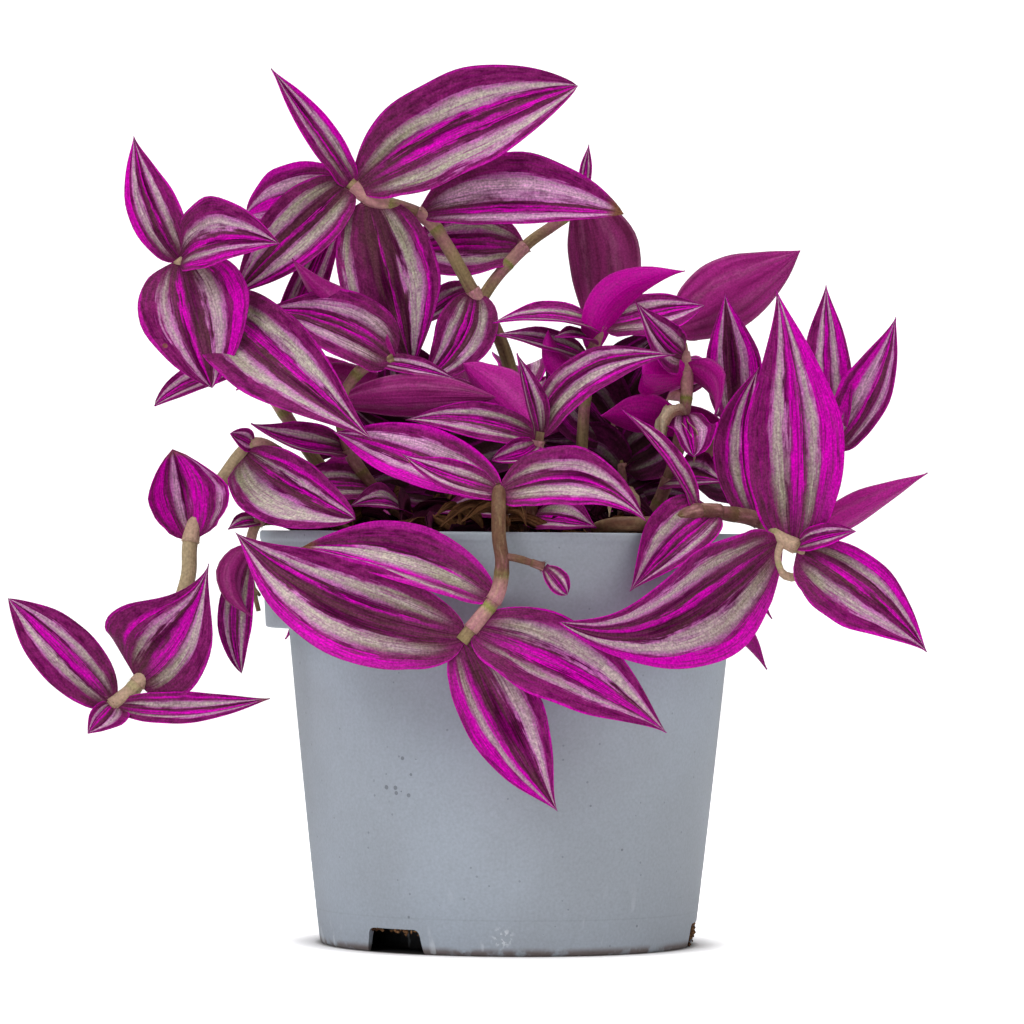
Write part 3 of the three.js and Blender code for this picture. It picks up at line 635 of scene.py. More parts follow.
@dataclass(frozen=True)
class LeafFinish:
    """The striped upper side of a leaf. Each blade's own bands come from attributes of its mesh."""

    centre: Colour = (92, 54, 62)
    shade: Colour = (56, 0, 36)
    dusk: Colour = (78, 8, 56)
    plum: Colour = (130, 36, 100)
    hem: Colour = (158, 40, 126)
    magenta: Colour = (224, 0, 192)
    deep: Colour = (172, 0, 142)
    halo: Colour = (214, 112, 198)
    green_silver: Colour = (140, 142, 108)
    beige: Colour = (202, 194, 178)
    lilac: Colour = (146, 92, 138)
    moss: Colour = (112, 92, 84)
    pink: Colour = (232, 168, 218)
    dry: Colour = (128, 84, 62)
    roughness: float = 0.5
    specular: float = 0.035
    grain: float = 1900.0  # to the metre
    glitter: float = 1300.0
    # The midrib is sunk, and darkened across this half width with painted shade.
    rib: float = 0.012  # half width of the dark midrib

    def material(self) -> Material:
        """Build the material.

        Returns:
            The material.
        """
        skin = Skin("leaf_upper")
        graph = skin.graph
        blade = Blade.read(graph)
        colour = self.ground(graph, blade)
        colour = self.streaked(graph, blade, colour)
        colour = self.silvered(graph, blade, colour)
        colour = self.hemmed(graph, blade, colour)
        # Painted shade: the sunk midrib groove is darkened.
        rib = graph.band(blade.across, 0.0, self.rib, self.rib)
        colour = graph.tint(colour, rib, self.shade, 0.35)
        withered = graph.times(blade.dry, graph.ease(graph.plus(blade.along, blade.side), 0.97, 1.02))
        colour = graph.tint(colour, graph.times(withered, graph.ease(blade.along, 0.9, 0.97)), self.dry)
        colour = graph.tint(colour, graph.flecks(170.0, 0.14, 0.02), self.dry, 0.7)
        # The grain, times the painted shade of leaves deep among the others.
        grain = graph.times(graph.speckle(self.grain, 1.6), painted_deep_shade(graph, blade.tone))
        gloss = graph.plus(self.roughness, graph.times(blade.fine, 0.06))
        normal = vein_normal(graph, blade.across, blade.fine, rib)
        return skin.finished(graph.shade(colour, grain), gloss, self.specular, normal)

    def ground(self, graph: Graph, blade: Blade) -> Socket:
        """Colour the blade below its bands: dark at the midrib and plum towards the edge, duller at its base.

        Args:
            graph: The material's graph.
            blade: What the mesh says.

        Returns:
            The colour.
        """
        middle = graph.between(graph.ease(blade.coarse, -0.6, 0.6), self.shade, self.centre)
        far = graph.between(graph.ease(blade.patch, -0.5, 0.7), self.plum, self.dusk)
        colour = graph.mix(graph.ease(blade.side, 0.2, 0.6), middle, far)
        base = graph.times(graph.rest(graph.ease(blade.along, 0.08, 0.5)), graph.ease(blade.patch, -1.0, 0.4))
        colour = graph.tint(colour, base, self.centre, 0.6)
        return graph.tint(colour, graph.times(blade.tone, graph.ease(blade.fine, -0.5, 1.0)), self.deep)

    def streaked(self, graph: Graph, blade: Blade, colour: Socket) -> Socket:
        """Lay the two magenta streaks of a leaf over its ground.

        Args:
            graph: The material's graph.
            blade: What the mesh says.
            colour: The colour so far.

        Returns:
            The colour.
        """
        given = graph.attribute("leaf_streaks")
        first, half, second = graph.split(given["Color"])
        for middle, width in ((first, half), (second, given["Alpha"])):
            band = graph.band(blade.bent, middle, width, 0.035)
            reach = graph.times(band, graph.ease(blade.along, 0.02, 0.3))
            colour = graph.tint(colour, graph.times(reach, graph.ease(blade.fine, -0.9, 0.5)), self.magenta)
        return colour

    def silvered(self, graph: Graph, blade: Blade, colour: Socket) -> Socket:
        """Lay the two silver bands over the blade, each pale and mottled within a wider lilac one.

        Args:
            graph: The material's graph.
            blade: What the mesh says.
            colour: The colour so far.

        Returns:
            The colour.
        """
        along, coarse, fine, patch = blade.along, blade.coarse, blade.fine, blade.patch
        given = graph.attribute("leaf_silver")
        first, half, second = graph.split(given["Color"])
        green = graph.times(graph.rest(graph.ease(along, 0.12, 0.7)), graph.ease(coarse, -0.9, 0.7))
        silver = graph.between(green, self.beige, self.green_silver)
        silver = graph.tint(silver, graph.ease(patch, 0.0, 1.0), self.lilac, 0.7)
        blush = graph.times(graph.ease(blade.pale, 0.3, 1.0), graph.ease(fine, -1.0, 0.7))
        silver = graph.tint(silver, blush, self.pink)
        around = graph.between(green, self.lilac, self.moss)
        start = graph.times(graph.ease(along, 0.03, 0.22), graph.ease(fine, -1.3, -0.3))
        broken = graph.plus(0.12, graph.times(graph.ease(fine, -0.9, 0.5), 0.88))
        broken = graph.times(broken, graph.speckle(self.glitter, 1.6), clamp=True)
        broken = graph.times(broken, graph.ease(patch, -1.2, -0.2))
        taper = graph.minus(0.98, graph.times(graph.ease(along, 0.45, 1.0), 0.45))
        swell = graph.plus(taper, graph.times(coarse, 0.5))
        for middle, own in ((first, half), (second, given["Alpha"])):
            width = graph.times(own, swell)
            halo = graph.band(blade.bent, middle, graph.plus(width, 0.055), 0.04)
            soft = graph.times(graph.times(halo, start), graph.ease(along, 0.1, 0.6))
            colour = graph.tint(colour, graph.times(soft, graph.ease(patch, -0.8, 0.3)), self.halo)
            band = graph.times(graph.band(blade.bent, middle, width, 0.06), start)
            colour = graph.mix(graph.times(band, 0.8), colour, around)
            core = graph.times(graph.band(blade.bent, middle, graph.times(width, 0.8), 0.09), start)
            colour = graph.mix(graph.times(core, broken), colour, silver)
        return colour

    def hemmed(self, graph: Graph, blade: Blade, colour: Socket) -> Socket:
        """Brighten a leaf's margin, and draw a thin magenta line along its very edge.

        Args:
            graph: The material's graph.
            blade: What the mesh says.
            colour: The colour so far.

        Returns:
            The colour.
        """
        start = graph.minus(0.97, graph.times(blade.margin, 1.3))
        hem = graph.ease(blade.side, start, graph.plus(start, 0.14))
        hem = graph.times(hem, graph.ease(blade.fine, -1.2, 0.4))
        hem = graph.times(hem, graph.ease(blade.patch, -1.2, 0.1))
        bright = graph.between(graph.ease(blade.tone, 0.3, 0.8), self.hem, self.magenta)
        colour = graph.mix(graph.times(hem, 0.85), colour, bright)
        edge = graph.plus(0.25, graph.times(blade.tone, 0.6))
        edge = graph.times(edge, graph.ease(blade.side, 0.94, 0.985), clamp=True)
        return graph.tint(colour, edge, self.magenta)


def painted_deep_shade(graph: Graph, tone: Socket) -> Socket:
    """Painted shade: darken the leaves that grow deep among the others, whose tone is below zero."""
    return graph.plus(0.4, graph.times(graph.ease(tone, -0.1, 0.08), 0.6))


def vein_normal(graph: Graph, across: Socket, fine: Socket, rib: Socket) -> Socket:
    """Raise the parallel veins of a blade and sink its midrib.

    Args:
        graph: The material's graph.
        across: Across the blade, -1 to 1.
        fine: The fine streaks.
        rib: The mask of the midrib.

    Returns:
        The normal.
    """
    veins = graph.math("SINE", graph.times(across, 38.0))
    height = graph.plus(graph.times(veins, 0.35), graph.times(fine, 0.5))
    return graph.bump(graph.minus(height, graph.times(rib, 1.2)), 0.5, 0.00012)


@dataclass(frozen=True)
class UndersideFinish:
    """The magenta underside of a leaf, where the bands of its upper side only just show."""

    deep: Colour = (104, 22, 68)
    dull: Colour = (142, 54, 104)
    bright: Colour = (198, 0, 160)
    vein: Colour = (196, 60, 160)
    faint: Colour = (190, 118, 158)
    roughness: float = 0.4
    specular: float = 0.1
    grain: float = 2200.0

    def material(self) -> Material:
        """Build the material.

        Returns:
            The material.
        """
        skin = Skin("leaf_underside")
        graph = skin.graph
        _, across, _ = graph.split(graph.attribute("leaf_shape")["Vector"])
        tone, _, under = graph.split(graph.attribute("leaf_tone")["Color"])
        streaks = graph.streaks("leaf_place")
        coarse, fine = streaks["Coarse"], streaks["Fine"]
        plain = graph.between(graph.ease(coarse, -0.7, 0.5), self.deep, self.dull)
        colour = graph.tint(plain, graph.plus(under, graph.times(coarse, 0.22), clamp=True), self.bright)
        colour = graph.tint(colour, graph.ease(fine, 0.1, 0.9), self.vein, 0.2)
        given = graph.attribute("leaf_silver")
        first, half, second = graph.split(given["Color"])
        bent = graph.plus(across, graph.times(coarse, 0.08))
        plainness = graph.rest(graph.times(under, 0.85))
        for middle, width in ((first, half), (second, given["Alpha"])):
            band = graph.band(bent, middle, width, 0.12)
            shown = graph.times(band, graph.ease(streaks["Patch"], -0.9, 0.9))
            colour = graph.tint(colour, graph.times(shown, plainness), self.faint, 0.42)
        edge = graph.times(graph.ease(graph.math("ABSOLUTE", across), 0.9, 0.98), plainness)
        colour = graph.tint(colour, edge, self.faint, 0.5)
        # The grain, times the painted shade of leaves deep among the others.
        grain = graph.times(graph.speckle(self.grain, 1.2), painted_deep_shade(graph, tone))
        raised = graph.times(graph.band(across, 0.0, 0.03, 0.02), -1.0)
        gloss = graph.plus(self.roughness, graph.times(fine, 0.05))
        normal = vein_normal(graph, across, fine, raised)
        return skin.finished(graph.shade(colour, grain), gloss, self.specular, normal)


@dataclass(frozen=True)
class StalkFinish:
    """A fleshy stalk, with rings at its nodes and the sleeves that clasp it above them."""

    name: str
    body: Colour = (160, 142, 100)
    mottle: Colour = (112, 88, 66)
    ring: Colour = (138, 144, 70)
    blush: Colour = (178, 100, 132)
    bark: Colour = (98, 62, 50)  # near the rim, where the stems are old
    # Paler colour well left or right of the pot.
    paler_outside: Colour = (206, 188, 150)  # well outside the pot
    roughness: float = 0.5
    specular: float = 0.15
    grain: float = 1500.0
    barked: tuple[Band, Band] = ((0.084, 0.092), (0.108, 0.128))  # the heights where bark starts and ends
    outside: Band = (0.056, 0.064)  # how far left or right of the axis

    def material(self) -> Material:
        """Build the material.

        Returns:
            The material.
        """
        skin = Skin(self.name)
        graph = skin.graph
        ring, blush, _ = graph.split(graph.attribute("stalk_tone")["Vector"])
        streaks = graph.streaks("stalk_place")
        fine = streaks["Fine"]
        colour = graph.between(graph.ease(streaks["Coarse"], -0.5, 0.8), self.body, self.mottle)
        colour = graph.tint(colour, graph.times(blush, graph.ease(fine, -1.2, 0.6)), self.blush)
        colour = graph.tint(colour, ring, self.ring)
        left_right, _, height = graph.split(graph.here())
        low, high = self.barked
        old = graph.times(graph.rest(graph.ease(height, *high)), graph.ease(height, *low))
        old = graph.times(old, graph.ease(streaks["Patch"], -1.2, 0.2))
        outside = graph.ease(graph.math("ABSOLUTE", left_right), *self.outside)
        colour = graph.tint(colour, outside, self.paler_outside, 0.6)
        colour = graph.tint(colour, graph.times(old, graph.rest(outside)), self.bark, 0.85)
        colour = graph.shade(colour, graph.speckle(self.grain, 1.0))
        gloss = graph.plus(self.roughness, graph.times(fine, 0.08))
        return skin.finished(colour, gloss, self.specular, graph.bump(fine, 0.4, 0.0002))


@dataclass(frozen=True)
class PotFinish:
    """Recycled grey plastic with fine grain, dark specks, a seam, a scratch, dirt and scuffs, and painted
    shade in the hollow under its raised foot.
    """

    body: Colour = (168, 178, 190)
    dull: Colour = (160, 168, 178)
    speck: Colour = (70, 74, 82)
    scuff: Colour = (214, 220, 226)
    dirt: Colour = (96, 70, 54)
    # Painted shade in the hollow under the raised foot.
    foot_hollow_shade: Colour = (30, 24, 22)  # under the raised foot
    roughness: float = 0.44
    specular: float = 0.5
    grain: float = 1500.0
    cluster: Band = (-0.0255, 0.042)  # a patch of specks on the front
    scratch: Band = (-0.001, 0.0045)
    seam: float = 0.0085
    dirt_line: Band = (0.0007, 0.0024)
    foot: Band = (0.0405, 0.0428)  # the radius where the raised foot begins
    arch: Band = (0.006, 0.009)

    def material(self) -> Material:
        """Build the material.

        Returns:
            The material.
        """
        skin = Skin("pot_plastic")
        graph, here = skin.graph, skin.graph.here()
        left_right, depth_way, height = graph.split(here)
        front = graph.math("LESS_THAN", depth_way, 0.0)
        colour = graph.between(graph.ease(graph.noise(here, 22.0, 4.0), 0.35, 0.65), self.body, self.dull)
        colour = graph.shade(colour, graph.speckle(self.grain, 0.34))
        for fineness, size, share, depth in ((260.0, 0.09, 0.04, 0.5), (700.0, 0.2, 0.04, 0.35)):
            colour = graph.tint(colour, graph.flecks(fineness, size, share), self.speck, depth)
        cluster = graph.times(graph.spot(left_right, height, self.cluster, 0.0045, 0.0075), front)
        colour = graph.tint(colour, graph.times(cluster, graph.flecks(560.0, 0.3, 0.3)), self.speck, 0.55)
        scratch = graph.times(graph.spot(left_right, height, self.scratch, 0.001, 0.0034), front)
        scratch = graph.times(scratch, graph.ease(graph.noise(here, 900.0, 3.0), 0.52, 0.56))
        colour = graph.tint(colour, scratch, self.scuff, 0.8)
        colour = graph.tint(colour, graph.band(height, self.seam, 0.0001, 0.00025), self.speck, 0.14)
        soiled = graph.rest(graph.ease(height, *self.dirt_line))
        soiled = graph.times(soiled, graph.ease(graph.noise(here, 210.0, 4.0), 0.36, 0.52))
        colour = graph.tint(colour, soiled, self.dirt, 0.75)
        # Painted shade in the hollow under the raised foot, which shows through the drain notches.
        within = graph.spot(left_right, depth_way, (0.0, 0.0), *self.foot)
        within = graph.times(within, graph.rest(graph.ease(height, *self.arch)))
        colour = graph.tint(colour, within, self.foot_hollow_shade, 0.92)
        rubbed = graph.ease(graph.noise(graph.stretch(here, (1.0, 1.0, 0.25)), 260.0, 3.0), 0.62, 0.7)
        scuffs = graph.times(graph.rest(graph.ease(height, 0.0, 0.02)), rubbed)
        colour = graph.tint(colour, scuffs, self.scuff, 0.5)
        gloss = graph.plus(self.roughness, graph.times(graph.noise(here, 60.0, 3.0), 0.12))
        normal = graph.bump(graph.noise(here, 900.0, 3.0), 0.25, 0.00015)
        return skin.finished(colour, gloss, self.specular, normal)


@dataclass(frozen=True)
class EarthFinish:
    """Damp potting mix, or the dry brown bits on it."""

    name: str
    dark: Colour = (40, 26, 20)
    light: Colour = (104, 72, 50)
    fleck: Colour = (170, 150, 124)
    fleck_share: float = 0.06
    roughness: float = 0.9
    specular: float = 0.08

    def material(self) -> Material:
        """Build the material.

        Returns:
            The material.
        """
        skin = Skin(self.name)
        graph, here = skin.graph, skin.graph.here()
        colour = graph.between(graph.ease(graph.noise(here, 300.0, 5.0), 0.35, 0.7), self.dark, self.light)
        colour = graph.tint(colour, graph.flecks(500.0, 0.35, self.fleck_share), self.fleck)
        colour = graph.shade(colour, graph.speckle(1800.0, 1.0))
        normal = graph.bump(graph.noise(here, 900.0, 5.0), 0.7, 0.0006)
        return skin.finished(colour, self.roughness, self.specular, normal)


@dataclass(frozen=True)
class WitheredFinish:
    """A withered leaf or sheath, streaked along its length."""

    name: str
    dark: Colour
    light: Colour
    vein: Colour
    roughness: float = 0.72
    specular: float = 0.08

    def material(self) -> Material:
        """Build the material.

        Returns:
            The material.
        """
        skin = Skin(self.name)
        graph = skin.graph
        streaks = graph.streaks("leaf_place")
        fine = streaks["Fine"]
        colour = graph.between(graph.ease(streaks["Coarse"], -0.7, 0.8), self.dark, self.light)
        colour = graph.tint(colour, graph.ease(fine, 0.0, 0.9), self.vein, 0.5)
        colour = graph.shade(colour, graph.speckle(1700.0, 1.0))
        gloss = graph.plus(self.roughness, graph.times(fine, 0.08))
        return skin.finished(colour, gloss, self.specular, graph.bump(fine, 0.7, 0.0004))


# ---------------------------------------------------------------- leaves
@dataclass(frozen=True)
class Look:
    """How one leaf is coloured. A band is (middle, half width) across the blade, + left of its heading."""

    # A tone below zero darkens a leaf with painted shade, for leaves deep among the others.
    tone: float = 0.5  # how bright the plum is
    pale: float = 0.5  # how pink the silver is
    under: float = 0.5  # how bright the underside is
    silver: tuple[Band, Band] = ((0.46, 0.13), (-0.48, 0.12))
    streaks: tuple[Band, Band] = ((0.05, 0.05), (-0.14, 0.05))
    margin: float = 0.06
    dry: float = 0.0  # how brown its tip is


# For leaves deep among the others; its tone below zero gives them painted shade.
DEEP_SHADE_LOOK = Look(-0.1, 0.2, 0.6, ((0.4, 0.05), (-0.45, 0.05)),
                 ((0.0, 0.03), (0.7, 0.05)), 0.03)  # deep in


@dataclass(frozen=True)
class Leaf:
    """One leaf, from its clasping base to its tip; face is where its upper side looks.

    arch bends the midrib towards that side and sway across it, hook moves the bend towards the tip, fold and
    cup raise the two halves, twist turns the blade along its length, wave ripples its edges, full widens its
    far half, lean makes the half on the left of its heading the wider one and tail draws out its tip.
    """

    name: str
    base: Point
    tip: Point
    width: float
    face: Point
    arch: float = 0.06
    sway: float = 0.0
    hook: float = 0.0
    fold: float = 0.22
    cup: float = 0.3
    twist: float = 0.0
    wave: float = 0.0
    full: float = 0.0
    lean: float = 0.0
    tail: float = 0.0
    seen: bool = True  # placed by its line of sight
    look: Look = Look()

    thickness = 0.42
    root_half_width = 1.2
    station_step = 1.5
    column_step = 1.25

    def ends(self) -> tuple[np.ndarray, np.ndarray]:
        """Give the base and the tip in the model's frame."""
        if self.seen:
            return sighted(self.base), sighted(self.tip)
        return np.array(self.base), np.array(self.tip)

    def stations(self, length: float) -> np.ndarray:
        """Share out the rows of points along the blade, closer together at its ends."""
        count = int(np.clip(length / self.station_step, 12, 44))
        even = np.linspace(0, 1, count + 1)
        return 0.65 * even + 0.35 * (1 - np.cos(math.pi * even)) / 2

    def columns(self) -> np.ndarray:
        """Share out the points across the blade, with one more close to each edge."""
        half = int(np.clip(self.width / self.column_step / 2, 3, 10))
        side = np.concatenate([np.linspace(0, 0.965, half + 1), [1.0]])
        return np.concatenate([-side[:0:-1], side])

    def outline(self, s: np.ndarray) -> np.ndarray:
        """Give the half width along the blade as a share of its widest."""
        rise = np.sin(math.pi * s ** (0.75 + 0.25 * self.full))
        drawn = np.clip((s - 0.4) / 0.5, 0, 1)
        narrow = 1 - self.tail * drawn**2 * (3 - 2 * drawn)
        return np.maximum(rise, 0) ** (0.62 + 0.55 * s * (1 - self.full)) * narrow

    def midrib(self, base: np.ndarray, tip: np.ndarray, s: np.ndarray) -> tuple[np.ndarray, ...]:
        """Bend the midrib, and turn the blade about it.

        Args:
            base: Where it leaves its stalk.
            tip: Where it ends.
            s: Shares of its length.

        Returns:
            For each share its point, the blade's direction to the left and its upward direction.
        """
        chord = tip - base
        length = float(np.linalg.norm(chord))
        along = chord / length
        up = unit(np.array(self.face) - along * float(np.dot(self.face, along)))
        bend = (up * self.arch + np.cross(up, along) * self.sway) * length * 4 / 3
        near, far = bend * (1 - self.hook), bend * (1 + self.hook)
        handles = [base, base + chord / 3 + near, base + chord * 2 / 3 + far, tip]
        shares = [(1 - s) ** 3, 3 * s * (1 - s) ** 2, 3 * s**2 * (1 - s), s**3]
        middle = sum(share[:, None] * handle for share, handle in zip(shares, handles))
        slopes = [(1 - s) ** 2, 2 * s * (1 - s), s**2]
        heading = unit(sum(w[:, None] * (b - a) for w, a, b in zip(slopes, handles, handles[1:])))
        side = turned(unit(np.cross(up, heading)), heading, self.twist * (s - 0.2))
        return middle, side, np.cross(heading, side)

    def surface(self, base: np.ndarray, tip: np.ndarray) -> tuple[np.ndarray, ...]:
        """Lay out the middle of the blade.

        Args:
            base: Where it leaves its stalk.
            tip: Where it ends.

        Returns:
            The points of the grid, their outward normals, and each point's place along and across.
        """
        chance = random.Random(f"{self.name}{self.base}")
        s = self.stations(float(np.linalg.norm(tip - base)))
        middle, side, rise = self.midrib(base, tip, s)
        half = np.maximum(self.root_half_width * (s < 0.5), self.width / 2 * self.outline(s))
        phase = [chance.uniform(0, TURN) for _ in range(4)]
        uneven = 0.022 * np.sin(9 * s + phase[0]) + 0.012 * np.sin(21 * s + phase[1])
        half = half * (1 + uneven * np.sin(math.pi * s))
        t = self.columns()
        across = t[None, :]
        spread = half[:, None] * (1 + self.lean * np.sign(across))
        size = np.abs(across)
        lift = (self.fold + self.cup * size / 2) * np.minimum(1, s * 6)[:, None]
        reach = s[:, None]
        ripple = self.wave * spread * across**2 * np.sin(reach * 11 + np.where(across > 0, 1.5, 0.0))
        sag = 0.035 * spread * across**2 * np.sin(reach * 17 + phase[1] + 2 * across)
        roll = 0.03 * spread * np.sin(reach * 5 + phase[2]) * np.sin(2.4 * across + phase[3]) * size
        out = spread * across * np.cos(lift)
        lifted = spread * np.sqrt(size**2 + 0.0008) * np.sin(lift) + ripple + sag + roll
        points = middle[:, None] + side[:, None] * out[..., None] + rise[:, None] * lifted[..., None]
        tilt = np.sign(across) * np.sin(lift)
        normals = rise[:, None] * np.cos(lift)[..., None] - side[:, None] * tilt[..., None]
        return points, normals, np.broadcast_to(reach, lifted.shape), np.broadcast_to(across, lifted.shape)

    def build(self, work: Patchwork, base: np.ndarray, tip: np.ndarray) -> None:
        """Add the blade to its stem's leaves, closed, with its upper side in the first slot.

        Args:
            work: The mesh that it joins.
            base: Where it leaves its stalk.
            tip: Where it ends.
        """
        points, normals, along, across = self.surface(base, tip)
        rows, columns = along.shape
        half = self.thickness / 2 * np.clip(1.15 - np.abs(across) ** 6, 0.35, 1)[..., None]
        layers = [(points + normals * half).reshape(-1, 3), (points - normals * half).reshape(-1, 3)]
        count = rows * columns
        upper, lower = grid_faces(rows, columns, flip=True), grid_faces(rows, columns, start=count)
        rim = [(i * columns, (i + 1) * columns) for i in range(rows - 1)]
        walls = [(a, b, b + count, a + count) for a, b in rim]
        last = columns - 1
        walls += [(b + last, a + last, a + last + count, b + last + count) for a, b in rim]
        ends = [(j + 1, j, j + count, j + 1 + count) for j in range(last)]
        slots = [0] * len(upper) + [1] * len(lower) + [0] * (len(walls) + len(ends))
        length = float(np.linalg.norm(tip - base))
        seed = random.Random(f"{self.name}{self.tip}").uniform(0, 50)
        flat_along, flat_across = along.reshape(-1, 1), across.reshape(-1, 1)
        one, look = np.ones_like(flat_along), self.look
        given = {
            "leaf_shape": [flat_along, flat_across, look.dry * one],
            "leaf_place": [flat_along * length, flat_across * self.width / 2, seed * one],
            "leaf_silver": [number * one for band in look.silver for number in band],
            "leaf_streaks": [number * one for band in look.streaks for number in band],
            "leaf_tone": [number * one for number in (look.tone, look.pale, look.under, look.margin)],
        }
        both = {name: np.tile(np.hstack(columns), (2, 1)) for name, columns in given.items()}
        work.add(np.concatenate(layers), upper + lower + walls + ends, slots, **both)


# ---------------------------------------------------------------- stalks
@dataclass
class Stalk:
    """One round fleshy stalk through its points. A planted one stands on a straight root in the soil."""

    points: Sequence[Point]
    radius: float
    planted: bool = False
    seen: bool = True

    root_top = 100.5
    hole_floor = 78.3
    sides = 14
    ring_step = 1.4
    taper = 0.12
    node_swell, node_width, blush_width = 0.14, 1.1, 5.0
    sleeve_length, sleeve_wall = 6.5, 0.16
    hairs = 30
    hair_length = (0.9, 1.8)
    hair_width = 0.08

    def __post_init__(self) -> None:
        """Lay the stalk's curve."""
        path = [sighted(p) if self.seen else np.array(p, float) for p in self.points]
        if self.planted:
            path[0][2] = self.root_top - 1.5
        self.route = Route(path)

    def nearest(self, point: np.ndarray) -> tuple[float, float, np.ndarray]:
        """Find the nearest of 121 spaced points.

        Args:
            point: The point that it lies near.

        Returns:
            The distance, the share of the length, and the point on the stalk.
        """
        places = [(share, self.route.along(share)) for share in np.linspace(0, 1, 121)]
        share, place = min(places, key=lambda item: float(np.linalg.norm(item[1] - point)))
        return float(np.linalg.norm(place - point)), float(share), place

    def frames(self, shares: np.ndarray) -> tuple[np.ndarray, np.ndarray, np.ndarray]:
        """Carry a pair of cross directions along the stalk without twisting.

        Args:
            shares: Shares of the length.

        Returns:
            The points and the two cross directions.
        """
        points = np.array([self.route.along(s) for s in shares])
        headings = np.array([self.route.heading(s) for s in shares])
        first = unit(np.cross(headings[0], [0.3, 0.9, 0.2]))
        across = [first]
        for heading in headings[1:]:
            across.append(unit(across[-1] - heading * np.dot(across[-1], heading)))
        sideways = np.array(across)
        return points, sideways, np.cross(headings, sideways)

    def tube(self, work: Patchwork, shares: np.ndarray, radii: np.ndarray, tone: np.ndarray, seed: float,
             slot: int = 0, wall: float = 0.0) -> None:
        """Add a tube along the stalk.

        Args:
            work: The mesh that it joins.
            shares: Where its rings are, as shares of the length.
            radii: The radius of each ring.
            tone: The node and blush marks of each ring.
            seed: What tells its pattern from others.
            slot: The material slot.
            wall: How thick its wall is, or 0 for a closed stem.
        """
        points, sideways, upright = self.frames(shares)
        angles = np.arange(self.sides) * TURN / self.sides
        cos, sin = np.cos(angles)[None, :, None], np.sin(angles)[None, :, None]
        spoke = sideways[:, None] * cos + upright[:, None] * sin
        layers = [points[:, None] + spoke * radii[:, None, None]]
        if wall:
            layers.append(points[:, None] + spoke * (radii[:, None, None] - wall))
        count = len(shares) * self.sides
        faces = ring_faces(len(shares), self.sides)
        end = count - self.sides
        if wall:
            faces += ring_faces(len(shares), self.sides, start=count, flip=True)
            for j in range(self.sides):
                k = (j + 1) % self.sides
                faces += [(k, j, count + j, count + k), (end + j, end + k, count + end + k, count + end + j)]
        else:
            faces += [tuple(range(self.sides))[::-1], tuple(range(end, count))]
        distance = np.repeat(shares * self.route.length, self.sides)
        round_it = np.tile(np.cos(angles) * 2.2, len(shares))
        place = np.stack([distance, round_it, np.full(count, seed)], axis=1)
        marks = np.repeat(tone, self.sides, axis=0)
        place, marks = (np.tile(rows, (len(layers), 1)) for rows in (place, marks))
        corners = np.concatenate([layer.reshape(-1, 3) for layer in layers])
        work.add(corners, faces, slot, stalk_place=place, stalk_tone=marks)

    def build(self, work: Patchwork, joints: Sequence[float], seed: float) -> None:
        """Add the stem itself, a little swollen and greener at its nodes, and its root.

        Args:
            work: The mesh that it joins.
            joints: Where its nodes are, as shares of the length.
            seed: What tells its pattern from others.
        """
        shares = np.linspace(0, 1, max(6, int(self.route.length / self.ring_step)))
        distance = shares * self.route.length
        ring, blush = np.zeros(len(shares)), np.zeros(len(shares))
        for joint in joints:
            away = np.abs(distance - joint * self.route.length)
            ring = np.maximum(ring, np.exp(-((away / self.node_width) ** 2)))
            blush = np.maximum(blush, np.exp(-((away / self.blush_width) ** 2)))
        radii = self.radius * (1 - self.taper * shares) * (1 + self.node_swell * ring)
        self.tube(work, shares, radii, np.stack([ring, blush, 0 * ring], 1), seed)
        if self.planted:
            foot = self.route.points[0]
            height = np.linspace(self.hole_floor, self.root_top - 1.4, 6)
            angles = np.arange(self.sides) * TURN / self.sides
            rings = [np.stack([foot[0] + self.radius * np.cos(angles), foot[1] + self.radius * np.sin(angles),
                               np.full(self.sides, z)], axis=1) for z in height]
            count = len(height) * self.sides
            faces = ring_faces(len(height), self.sides)
            faces += [tuple(range(self.sides))[::-1], tuple(range(count - self.sides, count))]
            place = np.stack([np.repeat(height, self.sides), np.tile(np.cos(angles) * 2.2, len(height)),
                              np.full(count, seed)], axis=1)
            work.add(np.concatenate(rings), faces, 0, stalk_place=place, stalk_tone=np.zeros((count, 3)))

    def sleeve(self, work: Patchwork, joint: float, seed: float) -> None:
        """Add the thin sleeve that clasps the stem below a leaf, from its node up to the leaf's base.

        Args:
            work: The mesh that it joins.
            joint: Where the leaf's base is, as a share of the length.
            seed: What tells its pattern from others.
        """
        length = self.route.length
        reach = min(self.sleeve_length, 0.3 * length)
        top = min(1.0, joint + 0.6 / length)
        foot = max(0.0, top - reach / length)
        if top - foot < 1.5 / length:
            return
        shares = np.linspace(foot, top, 7)
        rise = np.linspace(0, 1, 7)
        radii = self.radius * (1 - self.taper * shares) + 0.14 + 0.18 * rise**2
        marks = np.stack([np.exp(-((rise / 0.12) ** 2)), 0.55 + 0.35 * rise, 0 * rise], axis=1)
        self.tube(work, shares, radii, marks, seed, slot=1, wall=self.sleeve_wall)
        self.fringe(work, top, float(radii[-1]), seed)

